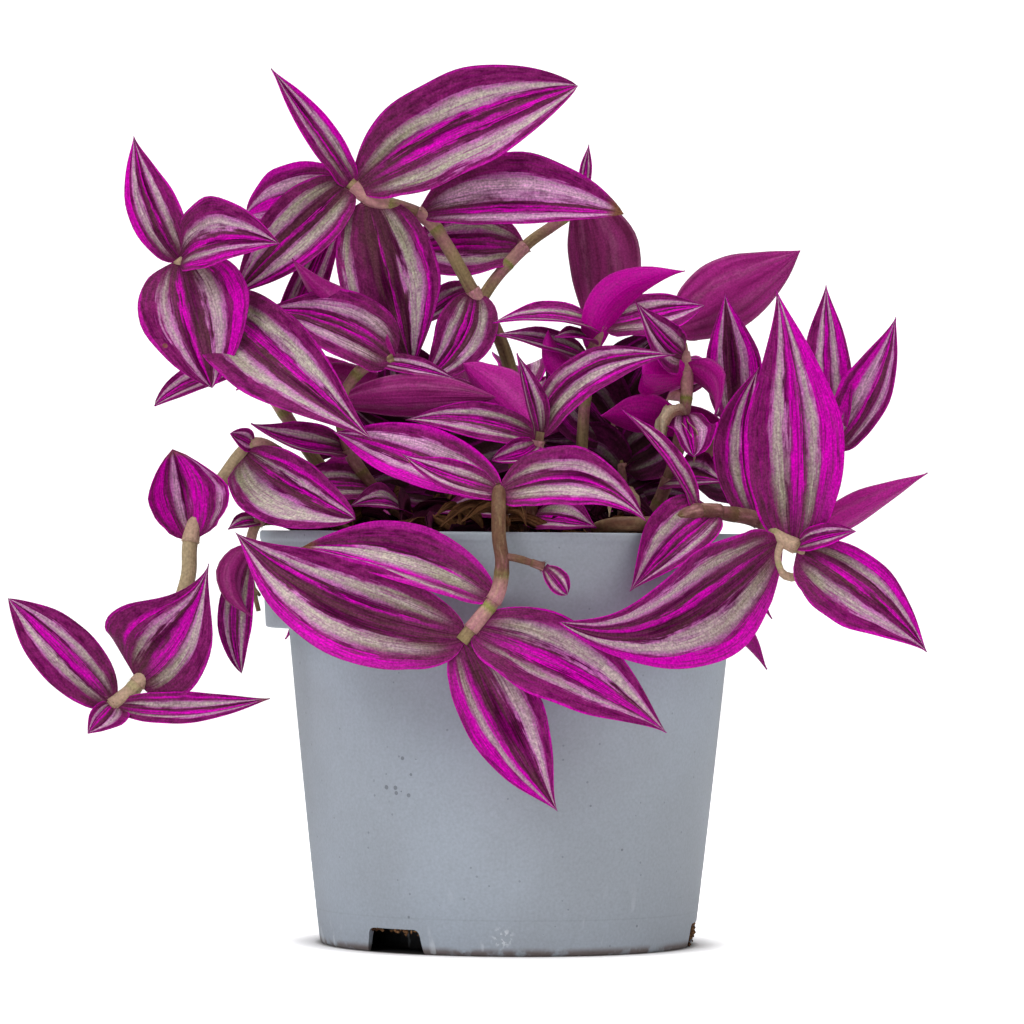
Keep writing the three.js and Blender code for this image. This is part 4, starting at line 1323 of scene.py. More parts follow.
    def fringe(self, work: Patchwork, share: float, radius: float, seed: float) -> None:
        """Add the short pale hairs that stand along a sleeve's upper rim.

        Args:
            work: The mesh that they join.
            share: Where the rim is, as a share of the length.
            radius: The sleeve's radius there.
            seed: What tells its hairs from others.
        """
        draw = random.Random(f"fringe{seed:.3f}")
        place, side, upright = (rows[-1] for rows in self.frames(np.array([share])))
        heading = self.route.heading(share)
        corners: list[np.ndarray] = []
        faces: list[Face] = []
        for _ in range(self.hairs):
            turn = draw.uniform(0, TURN)
            spoke = side * math.cos(turn) + upright * math.sin(turn)
            along = np.cross(heading, spoke)
            foot = place + spoke * (radius - 0.08) - heading * draw.uniform(0.1, 1.2)
            lean = heading * draw.uniform(0.5, 1.0) + spoke * draw.uniform(0.4, 0.9)
            lean += along * draw.uniform(-0.4, 0.4)
            tip = foot + unit(lean) * draw.uniform(*self.hair_length)
            half = self.hair_width / 2
            first = len(corners)
            corners += [foot - along * half, foot + along * half, foot + heading * 1.7 * half, tip]
            faces += [(first, first + 2, first + 1), (first, first + 1, first + 3),
                      (first + 1, first + 2, first + 3), (first + 2, first, first + 3)]
        blank = np.zeros((len(corners), 3))
        work.add(np.array(corners), faces, 1, stalk_place=blank + [0, 0, seed], stalk_tone=blank)


@dataclass
class LeafyStem:
    """One leafy stem of the plant: its stalks, its leaves, and the sleeves between them."""

    node: str
    stalks: list[Stalk]
    leaves: list[Leaf]

    def build(self, finishes: dict[str, Material]) -> None:
        """Make the stem's pieces.

        Args:
            finishes: The materials by the name of the finish.
        """
        blades, stems = Patchwork(), Patchwork()
        joints: list[list[float]] = [[] for _ in self.stalks]
        for leaf in self.leaves:
            base, tip = leaf.ends()
            found = [stalk.nearest(base) for stalk in self.stalks]
            which = min(range(len(found)), key=lambda k: found[k][0])
            joints[which].append(found[which][1])
            leaf.build(blades, found[which][2], tip)
        for number, (stalk, shares) in enumerate(zip(self.stalks, joints)):
            seed = random.Random(f"{self.node}{number}").uniform(0, 40)
            length = stalk.route.length
            kept: list[float] = []
            for share in sorted(shares):
                if not kept or (share - kept[-1]) * length > 4:
                    kept.append(share)
            stalk.build(stems, [max(0.0, share - 5.9 / length) for share in kept], seed)
            for index, share in enumerate(kept):
                stalk.sleeve(stems, share, seed + index)
        label = self.node.removeprefix("stem_")
        leaf_skins = [finishes["leaf_upper"], finishes["leaf_underside"]]
        blades.make(f"leaves_{label}", leaf_skins, "leaf", nodes=[self.node])
        stems.make(f"stalks_{label}", [finishes["stalk"], finishes["sleeve"]], "leaf", nodes=[self.node])


def front_stems() -> list[LeafyStem]:
    """List the stems that show from the front.

    Returns:
        The stems.
    """
    return [
        LeafyStem("stem_top", [
            Stalk([(2, -4, 98), (1, -5, 120), (0, -6, 138), (-4.5, -7, 150), (-9.7, -8, 158.4),
                (-15.3, -10, 168.1), (-20.5, -10, 175.3), (-26, -10, 178), (-34.6, -10, 180),
                (-39.5, -10, 184)], 1.75, planted=True),
            Stalk([(-7.8, -7.5, 155.3), (-4, -6, 161), (3.8, -4, 169.6), (10.4, -3, 174.4), (17, -2, 179.5)],
                1.5),
        ], [
            Leaf("d1", (-38.5, -10, 183.5), (-58.8, -13, 211.6), 11, (0.1, -1, 0.2), fold=0.6, arch=0.05,
                sway=0.01, look=Look(0.8, 0.6, 0.5, ((0.35, 0.08), (-0.5, 0.15)), ((0.0, 0.06), (-0.8, 0.1)),
                0.1)),
            Leaf("d4", (-38, -11, 183), (15.6, -20, 208), 27.5, (0, -1, 0.25), sway=0.04, arch=0.06,
                full=0.7, lean=-0.06, look=Look(0.35, 0.15, 0.5, ((0.37, 0.13), (-0.62, 0.16)),
                ((0.13, 0.05), (-0.17, 0.08)), 0.05)),
            Leaf("d3", (-35, -10, 180), (-24, -11, 138.5), 26, (0, -1, 0.2), arch=0.05, full=0.2,
                look=Look(0.15, 0.25, 0.5, ((0.48, 0.15), (-0.76, 0.07)), ((0.0, 0.025), (0.78, 0.04)),
                0.04)),
            Leaf("d2", (-39.5, -9, 184), (-68, -9, 156), 18, (0.1, -1, 0.2), arch=0.1, look=Look(0.15, 0.2,
                0.5, ((0.45, 0.14), (-0.5, 0.16)), ((0.0, 0.03), (0.8, 0.05)), 0.05)),
            Leaf("d5", (-39.5, -8, 183.5), (-64.6, 4, 176), 17, (0, -1, 0.3), full=0.9, fold=0.1,
                look=Look(0.7, 0.8, 0.7, ((0.4, 0.12), (-0.4, 0.12)), ((0.0, 0.2), (0.8, 0.1)), 0.18)),
            Leaf("e1", (-22.8, -10, 176), (27, -18, 177), 19, (0, -1, 0.3), sway=0.02, arch=0.1, full=0.6,
                lean=0.3, look=Look(0.45, 1.0, 0.35, ((0.33, 0.2), (-0.66, 0.15)),
                ((-0.16, 0.05), (-0.34, 0.06)), 0.08, 1.0)),
            Leaf("i", (-9.8, -8, 157), (-21.8, -15, 135.6), 15.5, (0.1, -1, 0.25), arch=0.1, sway=0.13,
                full=0.2, look=Look(0.2, 0.45, 0.5)),
            Leaf("j", (-11, -8, 157.5), (-22, 6, 150), 9, (-0.2, -0.9, 0.4), look=Look(0.4, 0.2, 0.4)),
            Leaf("e2", (2.5, -4, 168.8), (-23.5, 8, 168), 21, (0, -1, 0.25), arch=0.08, fold=0.3, full=0.8,
                look=Look(0.5, 0.35, 0.5)),
            Leaf("f1", (17, -2, 179.5), (20, 0, 146), 19, (0.15, 1, 0.15), arch=0.1, sway=-0.05, full=0.3,
                lean=-0.2, look=Look(0.4, 0.3, 0.12, ((0.35, 0.12), (-0.4, 0.12)))),
            Leaf("f2", (17, -2, 179), (18.4, 4, 193.7), 4, (0, -1, 0.1), fold=0.5, look=Look(0.8, 0.2, 0.7)),
        ]),
        LeafyStem("stem_upper_left", [
            Stalk([(-30, 6, 98), (-46, 3, 115), (-60, -2, 136), (-72, -12, 154), (-81, -16, 165.5)], 1.7,
                planted=True),
        ], [
            Leaf("c1", (-80.5, -16, 165), (-92, -17, 195), 13.5, (0, -1, 0.2), fold=0.25, sway=0.06,
                look=Look(0.6, 0.6, 0.4, ((0.45, 0.13), (-0.35, 0.1)), ((0.0, 0.05), (0.85, 0.12)), 0.08)),
            Leaf("c2", (-80, -16, 165), (-56.5, -38, 169.2), 18.5, (0, -1, 0.25), arch=0.12, full=0.4,
                sway=0.06, lean=0.1, look=Look(0.5, 0.6, 0.5, ((0.4, 0.12), (-0.45, 0.1)),
                ((0.0, 0.1), (-0.75, 0.08)), 0.08)),
            Leaf("c3", (-80.5, -17, 165), (-72.5, -28, 134), 28.5, (-0.05, -1, 0.15), arch=0.1, full=0.6,
                lean=0.08, look=Look(0.35, 0.55, 0.6, ((0.42, 0.11), (-0.48, 0.08)),
                ((-0.12, 0.06), (0.8, 0.12)), 0.05)),
            Leaf("c5", (-72, -12, 154), (-33.6, -49, 121.7), 24, (-0.2, -1, 0.3), arch=0.08, lean=-0.15,
                look=Look(0.35, 0.2, 0.5, ((0.42, 0.17), (-0.5, 0.12)), ((0.0, 0.05), (0.12, 0.04)), 0.04)),
            Leaf("c4", (-62, -4, 140), (-86.5, -10, 129.5), 9, (-0.1, -0.9, 0.6), arch=0.05, sway=-0.03,
                hook=0.4, full=0.8, fold=0.3, look=Look(0.7, 0.5, 0.4)),
            Leaf("c6", (-58, 0, 134), (-39, 5, 181), 11, (0.4, -0.9, 0), sway=0.06, look=Look(0.9, 0.5,
                0.7)),
        ]),
        LeafyStem("stem_middle_left", [
            Stalk([(-20, -16, 98), (-32, -18, 109), (-39.5, -20, 120), (-41, -20, 131), (-36, -20, 139),
                (-28.5, -20, 141.5)], 1.5, planted=True),
        ], [
            Leaf("l8a", (-28, -20, 141), (-53.3, -30, 165.6), 12, (0.5, 0.8, 0.4), fold=0.4, sway=-0.12,
                look=Look(0.3, 0.2, 0.5)),
            Leaf("l8b", (-28, -20, 141), (-62, -19, 153), 19, (0, -0.9, 0.4), arch=0.12, sway=-0.04,
                full=-0.5, look=Look(0.45, 0.7, 0.4)),
            Leaf("k", (-40.5, -20, 130.8), (-3.6, -32, 132.3), 11.5, (0, 0.95, 0.3), arch=0.04, full=0.4,
                look=Look(0.3, 0.2, 0.3)),
            Leaf("k2", (-32, -20, 139.5), (-13, -22, 136.3), 6, (0, -0.8, 0.5), look=Look(0.3, 0.8, 0.3)),
            Leaf("v1", (-39.5, -19, 119), (-63, -24, 125.5), 13, (0, -0.7, 0.7), arch=-0.12, fold=0.5,
                look=Look(0.6, 0.5, 0.5)),
            Leaf("v3", (-33, -18, 110), (-56, -22, 108.5), 12, (0, -0.8, 0.5), arch=0.1, look=Look(0.2, 0.2,
                0.3)),
            Leaf("low", (-24, -16, 103), (-39, -40, 105.5), 12, (0, -0.8, 0.6), arch=0.1, look=Look(0.1, 0.2,
                0.2)),
        ]),
        LeafyStem("stem_left_trailing", [
            Stalk([(-40, -14, 98), (-52, -18, 114), (-62, -21, 120), (-69.8, -24, 111.6), (-75.8, -27, 103),
                (-77.6, -28, 96), (-78, -29, 88), (-84, -32, 72), (-91, -35, 61), (-96.5, -36, 56.5)], 2,
                planted=True),
        ], [
            Leaf("s1", (-77.6, -28, 97), (-82, -33, 119), 24.5, (0, -1, 0), arch=-0.05, cup=0.9, full=0.9,
                lean=-0.2, look=Look(0.95, 0.9, 0.9, ((0.12, 0.09), (-0.75, 0.03)),
                ((-0.3, 0.16), (0.6, 0.16)), 0.05, 0.7)),
            Leaf("s2", (-90, -35, 62.4), (-73, -42, 91.4), 28, (-0.1, -1, 0.1), arch=0.08, full=-0.6,
                sway=-0.11, lean=0.22, tail=0.15, look=Look(0.3, 0.4, 0.5, ((-0.32, 0.13), (0.4, 0.04)),
                ((0.03, 0.11), (0.62, 0.04)), 0.02)),
            Leaf("s3", (-96, -36, 57.5), (-121.6, -40, 82.6), 16.5, (0.1, -1, 0.2), arch=0.06, full=0.5,
                lean=0.05, look=Look(0.35, 0.5, 0.5, ((0.36, 0.13), (-0.42, 0.09)),
                ((0.02, 0.1), (-0.16, 0.05)), 0.03)),
            Leaf("s4", (-96, -36, 57), (-102, -44, 50), 10, (-0.1, -1, 0.2), fold=0.3, full=0.5, lean=0.4,
                look=Look(0.6, 0.7, 0.5)),
            Leaf("s5", (-95.5, -36, 56.5), (-57.9, -44, 58.8), 9, (0, -0.9, 0.5), sway=-0.09, full=0.2,
                fold=0.15, look=Look(0.6, 0.5, 0.8, ((0.3, 0.16), (-0.5, 0.06)), ((-0.2, 0.12), (0.7, 0.05)),
                0.03, 0.6)),
            Leaf("u1", (-63.5, -22, 117.5), (-37.5, -53, 102.5), 19.5, (-0.2, -1, 0.3), arch=0.06, full=1,
                sway=-0.04, lean=-0.25, look=Look(0.3, 0.15, 0.5, ((0.3, 0.05), (-0.5, 0.26)),
                ((0.05, 0.05), (0.6, 0.08)), 0.03)),
            Leaf("v2", (-62, -21, 120.4), (-68, -27, 123), 6, (0, -1, 0.3), full=0.8, look=Look(0.9, 0.9,
                0.8)),
        ]),
        LeafyStem("stem_left_low", [
            Stalk([(-38, -24, 96), (-46, -27, 103), (-55, -30, 105), (-61.5, -31, 101), (-63.5, -31, 93)],
                1.2, planted=True),
        ], [
            Leaf("u2", (-61, -31, 101.7), (-68.4, -36, 99.8), 6, (0, -0.7, 0.7), look=Look(0.2, 0.2, 0.2)),
            Leaf("t1", (-63.5, -31, 95), (-62.5, -37, 78.5), 9, (-0.6, 0.8, 0.2), sway=0.24, fold=0.4,
                look=Look(0.3, 0.1, 0.25)),
            Leaf("t2", (-63.3, -31, 93), (-64.8, -28, 64.8), 9, (0.2, -1, 0.2), sway=-0.1, full=0.6,
                look=Look(0.8, 0.3, 0.7)),
        ]),
        LeafyStem("stem_front", [
            Stalk([(-2, -44, 96), (-2.2, -50, 106), (-2.6, -57, 109.5), (-2.8, -64, 105), (-2.6, -66.5, 98),
                (-1.8, -67, 92), (-3, -67, 84.5), (-7, -67.5, 78.8), (-11.5, -68, 73)], 1.8, planted=True),
            Stalk([(-1.9, -66.5, 93.8), (2, -68, 93.2), (8.4, -68.5, 91.2)], 0.9),
        ], [
            Leaf("b", (-3, -57, 109.5), (-43, -31, 123.5), 17, (-0.1, -0.9, 0.45), arch=0.03, full=0.2,
                look=Look(0.7, 0.9, 0.5, ((0.42, 0.12), (-0.42, 0.14)), ((0.0, 0.08), (0.75, 0.14)), 0.12)),
            Leaf("c", (-3.5, -58, 109.5), (-26.5, -58, 118.3), 10, (-0.1, -0.8, 0.6), sway=0.1,
                look=Look(0.55, 0.6, 0.5)),
            Leaf("d", (-2.5, -59, 108.5), (33, -63, 102.6), 17.5, (0, -0.85, 0.55), sway=0.1, arch=0.14,
                hook=0.2, look=Look(0.4, 0.5, 0.6, ((0.5, 0.1), (-0.3, 0.22)), ((0.12, 0.04), (-0.7, 0.08)),
                0.07)),
            Leaf("q1", (-10, -68, 73.5), (-66.6, -54, 99), 25.5, (-0.15, -1, 0.3), sway=0.085, arch=0.05,
                lean=0.14, look=Look(0.4, 0.4, 0.5, ((0.5, 0.13), (-0.45, 0.13)),
                ((-0.12, 0.035), (0.85, 0.1)), 0.06)),
            Leaf("q2", (-3.6, -67, 83.5), (-50.5, -56, 95.5), 16.5, (-0.1, -0.9, 0.5), sway=-0.06, full=0.35,
                look=Look(0.55, 0.4, 0.5, ((0.15, 0.26), (0.75, 0.08)), ((0.5, 0.05), (-0.1, 0.03)), 0.18,
                1.0)),
            Leaf("q3", (-8.4, -68, 76.2), (38.4, -66, 51.2), 22, (0, -1, 0.35), arch=0.06, sway=0.04,
                lean=-0.08, look=Look(0.55, 0.5, 0.6, ((0.42, 0.22), (-0.45, 0.06)),
                ((-0.03, 0.1), (-0.2, 0.06)), 0.05)),
            Leaf("q4", (-11, -68, 72.5), (12.1, -64, 32), 20.5, (0, -1, 0.3), arch=0.06, sway=-0.05,
                lean=0.15, look=Look(0.6, 0.6, 0.6, ((0.55, 0.14), (-0.42, 0.09)),
                ((-0.22, 0.1), (-0.72, 0.16)), 0.08)),
            Leaf("r1", (8.4, -68.5, 91), (14, -66, 84.5), 6, (0.2, -1, 0.2), full=0.8, look=Look(0.6, 0.5,
                0.6)),
        ]),
        LeafyStem("stem_middle", [
            Stalk([(5, -30, 98), (5.5, -33, 110), (6.5, -36, 121), (7, -36, 124)], 1.5, planted=True),
        ], [
            Leaf("a", (5.5, -35, 122.5), (-25.5, -32, 126.6), 11, (0, -0.9, 0.45), sway=-0.04, lean=0.1,
                look=Look(0.6, 0.4, 0.85)),
            Leaf("e", (6.6, -36, 122.4), (1.4, -37, 143), 9, (0.6, -0.8, 0.1), fold=0.6, sway=0.05,
                look=Look(0.3, 0.4, 0.75)),
            Leaf("f", (7, -36, 122.6), (39.8, -32, 143), 11.5, (0.1, -0.9, 0.4), sway=0.16, hook=-0.2,
                arch=0.05, look=Look(0.35, 0.5, 0.5, ((0.66, 0.08), (-0.15, 0.22)),
                ((0.4, 0.04), (-0.6, 0.08)), 0.06)),
            Leaf("g", (5.5, -33, 123), (-11.6, -24, 140.5), 17.5, (0.3, 0.9, 0.4), cup=0.9, full=0.9,
                sway=-0.08, look=Look(0.3, 0.1, 0.7)),
            Leaf("bud", (5.5, -35, 121.5), (-4.5, -44, 117), 8.5, (0.2, -0.9, 0.5), cup=1, full=1, sway=0.12,
                look=Look(0.8, 0.1, 0.8)),
            Leaf("rim", (5, -31, 103.5), (21, -54, 100.9), 13, (0, -0.9, 0.5), arch=0.02, look=Look(0.4, 0.2,
                0.4)),
            Leaf("rim_left", (5, -31, 104), (-18, -42, 104), 13, (0, -0.8, 0.7), arch=0.08, look=Look(0.3,
                0.2, 0.3)),
        ]),
        LeafyStem("stem_upper_middle", [
            Stalk([(16, -10, 98), (17, -13, 115), (18, -16, 132), (19.5, -17, 143), (22, -16, 150)], 1.5,
                planted=True),
        ], [
            Leaf("h", (18, -16, 138), (8.8, -22, 148.7), 9, (-0.4, 0.8, -0.2), cup=0.8, sway=-0.15, full=0.3,
                look=Look(0.9, 0.1, 0.9)),
            Leaf("w3", (19, -17, 141.5), (-4, -20, 147.5), 9, (0, -0.7, 0.8), arch=0.06, look=Look(0.5, 0.5,
                0.5)),
            Leaf("h1", (19.5, -17, 143.5), (42, -26, 163.3), 10.3, (-0.3, 0.9, 0.2), sway=-0.19, arch=0.08,
                hook=-0.2, look=Look(0.9, 0.1, 1.0)),
            Leaf("w1", (21.5, -16, 149), (-4.6, -24, 150.3), 11, (0, -0.6, 0.9), arch=0.09, look=Look(0.9,
                0.3, 0.6)),
            Leaf("w2", (20, -17, 146), (10.5, -26, 147), 8, (0, -0.6, 0.9), look=Look(0.5, 0.3, 0.4)),
            Leaf("i2", (22, -16, 150), (46.8, -10, 154.9), 14, (0, -0.8, 0.5), arch=0.05, lean=-0.3,
                full=0.3, look=Look(0.65, 0.6, 0.5)),
        ]),
        LeafyStem("stem_upper_right", [
            Stalk([(32, -12, 98), (38, -13, 112), (42, -14, 128), (42.5, -13, 139), (40, -10, 148),
                (37, -8, 152)], 1.5, planted=True),
        ], [
            Leaf("i1", (38.5, -9, 150), (69.9, -8, 168.5), 20, (-0.2, 0.95, 0.3), arch=0.05, full=0.3,
                sway=0.06, look=Look(0.6, 0.3, 0.36, ((0.3, 0.1), (-0.45, 0.14)))),
            Leaf("i3", (41.5, -12.5, 143), (30, -33, 155.8), 12, (0.2, -1, 0.2), sway=0.08, lean=0.15,
                look=Look(0.5, 0.75, 0.5)),
            Leaf("j1", (42.5, -13.5, 138), (31.8, -28, 138), 14, (-0.3, 0.9, 0.2), full=0.8, cup=0.5,
                arch=0.03, look=Look(0.8, 0.1, 1.0)),
            Leaf("j2", (42.8, -13, 140), (49.5, -25, 128.5), 13, (0.6, 0.6, 0.5), full=0.7, arch=0.15,
                look=Look(0.1, 0.1, 0.6)),
            Leaf("x1", (41.7, -14, 125), (21.8, -25, 128), 12, (0, 0.8, 0.5), arch=0.1, look=Look(0.7, 0.2,
                0.9)),
            Leaf("y3", (42, -14, 128.5), (44.5, -27, 118.2), 13, (0.2, -1, 0.2), full=0.9, wave=0.3,
                look=Look(0.95, 1.0, 0.9)),
            Leaf("z1", (38, -13, 112.5), (52, -27, 112), 15, (0, -0.8, 0.6), look=Look(0.05, 0.1, 0.55)),
        ]),
        LeafyStem("stem_right", [
            Stalk([(24, -38, 96), (21.5, -46, 100.4), (26, -51, 101.6), (35, -49, 102), (46, -43, 105),
                (52, -39, 104.6), (60, -37, 103), (66, -37, 98.5), (70, -37, 96.5)], 1.9, planted=True),
            Stalk([(70, -37, 96.5), (72, -37, 92.5), (69.8, -37.5, 89.3), (66.2, -38, 90), (64.6, -38, 94),
                (66, -37, 98.3)], 1.1),
        ], [
            Leaf("l1", (69.5, -37, 97.5), (64.2, -36, 158.8), 26, (0, -1, 0.1), sway=-0.04, fold=0.3,
                lean=0.1, tail=0.2, look=Look(0.65, 0.4, 0.6, ((0.36, 0.12), (-0.33, 0.1)),
                ((0.02, 0.12), (-0.72, 0.24)), 0.05)),
            Leaf("l2", (60, -37, 103), (60, -27, 140), 16, (0.25, -1, 0.1), sway=0.1, arch=-0.06,
                look=Look(0.45, 0.4, 0.6, ((0.2, 0.16), (-0.45, 0.12)), ((0.5, 0.06), (0.0, 0.05)), 0.06)),
            Leaf("n1", (69.5, -37, 97), (101.2, -30, 114.8), 9.5, (-0.4, 0.9, 0.4), arch=0, hook=0.5,
                fold=0.3, look=Look(0.7, 0.2, 0.55)),
            Leaf("n2", (69.8, -37, 96.8), (83.9, -46, 100.5), 7, (-0.2, -0.9, 0.4), full=0.5, look=Look(0.9,
                0.6, 0.8)),
            Leaf("o1", (70, -37, 96), (101.4, -42, 71.3), 21, (0.1, -1, 0.3), arch=0.06, sway=0.055,
                lean=-0.35, look=Look(0.6, 0.4, 0.6, ((0.42, 0.1), (-0.45, 0.12)),
                ((0.0, 0.07), (0.75, 0.14)), 0.08)),
            Leaf("p1", (66, -37, 97.5), (12.1, -78, 77.9), 28.5, (-0.1, -1, -0.2), sway=0.115, arch=0.02,
                hook=0.55, tail=0.4, full=0.65, look=Look(0.5, 0.5, 0.6, ((0.47, 0.17), (-0.56, 0.1)),
                ((0.84, 0.12), (-0.12, 0.05)), 0.08)),
            Leaf("p2", (50, -40, 104.5), (29.2, -58, 85.5), 16, (0, -1, 0.3), arch=0.08, lean=-0.25,
                look=Look(0.6, 0.4, 0.6)),
            Leaf("y1", (45, -43, 105), (26.9, -40, 129.6), 8, (0.7, -0.7, 0.3), fold=0.5, look=Look(0.55,
                0.5, 0.6)),
        ]),
        LeafyStem("stem_inner_left", [
            Stalk([(-12, 2, 98), (-15, 3, 110), (-18, 4, 121)], 1.4, planted=True),
        ], [
            Leaf("under_1", (-14, 3, 107), (-42, -6, 109), 18, (0, -0.8, 0.6), arch=0.08, look=DEEP_SHADE_LOOK),
            Leaf("under_2", (-16, 3, 114), (-39, 7, 122), 22, (0, -1, 0.3), arch=0.1, look=DEEP_SHADE_LOOK),
            Leaf("under_3", (-15, 3, 110), (11, 17, 113), 22, (0, -1, 0.3), arch=0.1, look=DEEP_SHADE_LOOK),
            Leaf("under_4", (-17, 4, 118), (9, 11, 126), 24, (0, -1, 0.3), arch=0.1, look=DEEP_SHADE_LOOK),
            Leaf("under_5", (-18, 4, 121), (-30, 8, 148), 20, (0, -1, 0.1), arch=0.08, look=DEEP_SHADE_LOOK),
            Leaf("under_6", (-18, 4, 120), (-41, 0, 131), 16, (0, -1, 0.2), arch=0.08, look=DEEP_SHADE_LOOK),
        ]),
        LeafyStem("stem_inner_right", [
            Stalk([(27, 6, 98), (27, 5, 114), (25, 4, 128)], 1.4, planted=True),
        ], [
            Leaf("under_1", (27, 6, 105), (47, -6, 107), 16, (0, -0.8, 0.6), arch=0.08, look=DEEP_SHADE_LOOK),
            Leaf("under_2", (27, 5.5, 110), (6, 3, 122), 24, (0, -1, 0.3), arch=0.08, look=DEEP_SHADE_LOOK),
            Leaf("under_3", (27, 5, 116), (44, 6, 127), 20, (0, -1, 0.3), arch=0.08, look=DEEP_SHADE_LOOK),
            Leaf("under_4", (26, 4.5, 123), (8, 4, 141), 22, (0, -1, 0.2), arch=0.08, look=DEEP_SHADE_LOOK),
            Leaf("under_5", (25, 4, 128), (38, 4, 150), 20, (-0.1, -1, 0.1), arch=0.08, look=DEEP_SHADE_LOOK),
            Leaf("under_6", (27, 6, 109), (41, 3, 114), 13, (0, -1, 0.3), arch=0.06, look=DEEP_SHADE_LOOK),
        ]),
        LeafyStem("stem_right_back", [
            Stalk([(32, 6, 98), (42, 4, 110), (54, 0, 126), (66, -3, 124.5), (79, -6, 120.5)], 1.6,
                planted=True),
        ], [
            Leaf("under_1", (46, 3, 115), (66, 0, 110), 18, (0, -1, 0.3), arch=0.06, look=DEEP_SHADE_LOOK),
            Leaf("k1", (54.5, 0, 126), (51.7, -8, 158), 15.5, (-0.1, -1, 0.1), fold=0.3, lean=-0.15,
                look=Look(0.35, 0.75, 0.6, ((0.42, 0.08), (-0.42, 0.08)), ((0.7, 0.16), (-0.7, 0.16)),
                0.08)),
            Leaf("m1", (77, -5.5, 121), (76.2, -8, 160.2), 14, (-0.1, -1, 0.1), fold=0.3, look=Look(0.5, 0.6,
                0.6, ((0.3, 0.14), (-0.35, 0.12)), ((0.0, 0.08), (-0.7, 0.16)), 0.08)),
            Leaf("m2", (78.5, -6, 120.5), (93.2, -12, 152.5), 14, (-0.2, -1, 0.2), sway=-0.08, fold=0.3,
                lean=0.1, look=Look(0.6, 1.0, 0.45, ((0.3, 0.14), (-0.55, 0.1)), ((0.0, 0.08), (0.6, 0.12)),
                0.08)),
        ]),
    ]


@dataclass(frozen=True)
class BackStems:
    """The stems behind: every other one stands up, and the others trail over the rim."""

    count: int = 5
    seed: int = 31
    first_azimuth: float = 38.0
    spread: float = 98.0
    upright: tuple[Band, ...] = ((26, 98), (30, 110), (36, 122), (45, 131), (54, 134))  # radius and height
    trailing: tuple[Band, ...] = ((44, 97), (52, 108), (63, 109), (71, 100), (76, 86), (80, 73))
    upright_shares: tuple[float, ...] = (0.3, 0.45, 0.6, 0.75, 0.88, 1)
    trailing_shares: tuple[float, ...] = (0.3, 0.42, 0.56, 0.7, 0.83, 0.93, 1)

    def stems(self) -> list[LeafyStem]:
        """Lay out all of them from one row of random numbers.

        Returns:
            The stems.
        """
        chance = Chance(self.seed)
        return [self.stem(index, chance) for index in range(self.count)]

    def stem(self, index: int, chance: Chance) -> LeafyStem:
        """Lay out one of them, its leaves left and right in turn.

        Args:
            index: Which one, from 0.
            chance: The random numbers.

        Returns:
            The stem.
        """
        azimuth = math.radians(self.first_azimuth + self.spread * index / (self.count - 1))
        dx, dy = math.cos(azimuth), math.sin(azimuth)
        stands = index % 2 == 0
        profile = self.upright if stands else self.trailing
        points = [(r * dx, r * dy, z + 3 * chance()) for r, z in profile]
        stalk = Stalk(points, 1.6, planted=True, seen=False)
        leaves = []
        for k, share in enumerate(self.upright_shares if stands else self.trailing_shares):
            base, heading = stalk.route.along(share), stalk.route.heading(share)
            turn = 0.1 if share == 1 else (-1 if k % 2 else 1) * (1.6 - 1.1 * share + 0.25 * chance())
            flat = unit(np.array([heading[0], heading[1], 0.0]))
            cos, sin = math.cos(turn), math.sin(turn)
            rise = (0.25 if stands else 0.1) - 0.35 * chance() + (0 if stands else heading[2] * 0.4)
            way = unit(np.array([flat[0] * cos - flat[1] * sin, flat[0] * sin + flat[1] * cos, rise]))
            length = 32 + 8 * chance()
            arch = 0.12 + 0.05 * chance()
            taste = random.Random(f"{index} {k}")
            look = Look(taste.uniform(0.2, 0.7), taste.uniform(0.1, 0.8), taste.uniform(0.3, 0.6))
            leaves.append(Leaf(f"back_{k}", tuple(base), tuple(base + way * length), length * 0.48,
                               (dx * 0.35, dy * 0.35, 1), arch=arch, fold=0.3, seen=False, look=look))
        return LeafyStem(f"stem_back_{index + 1}", [stalk], leaves)


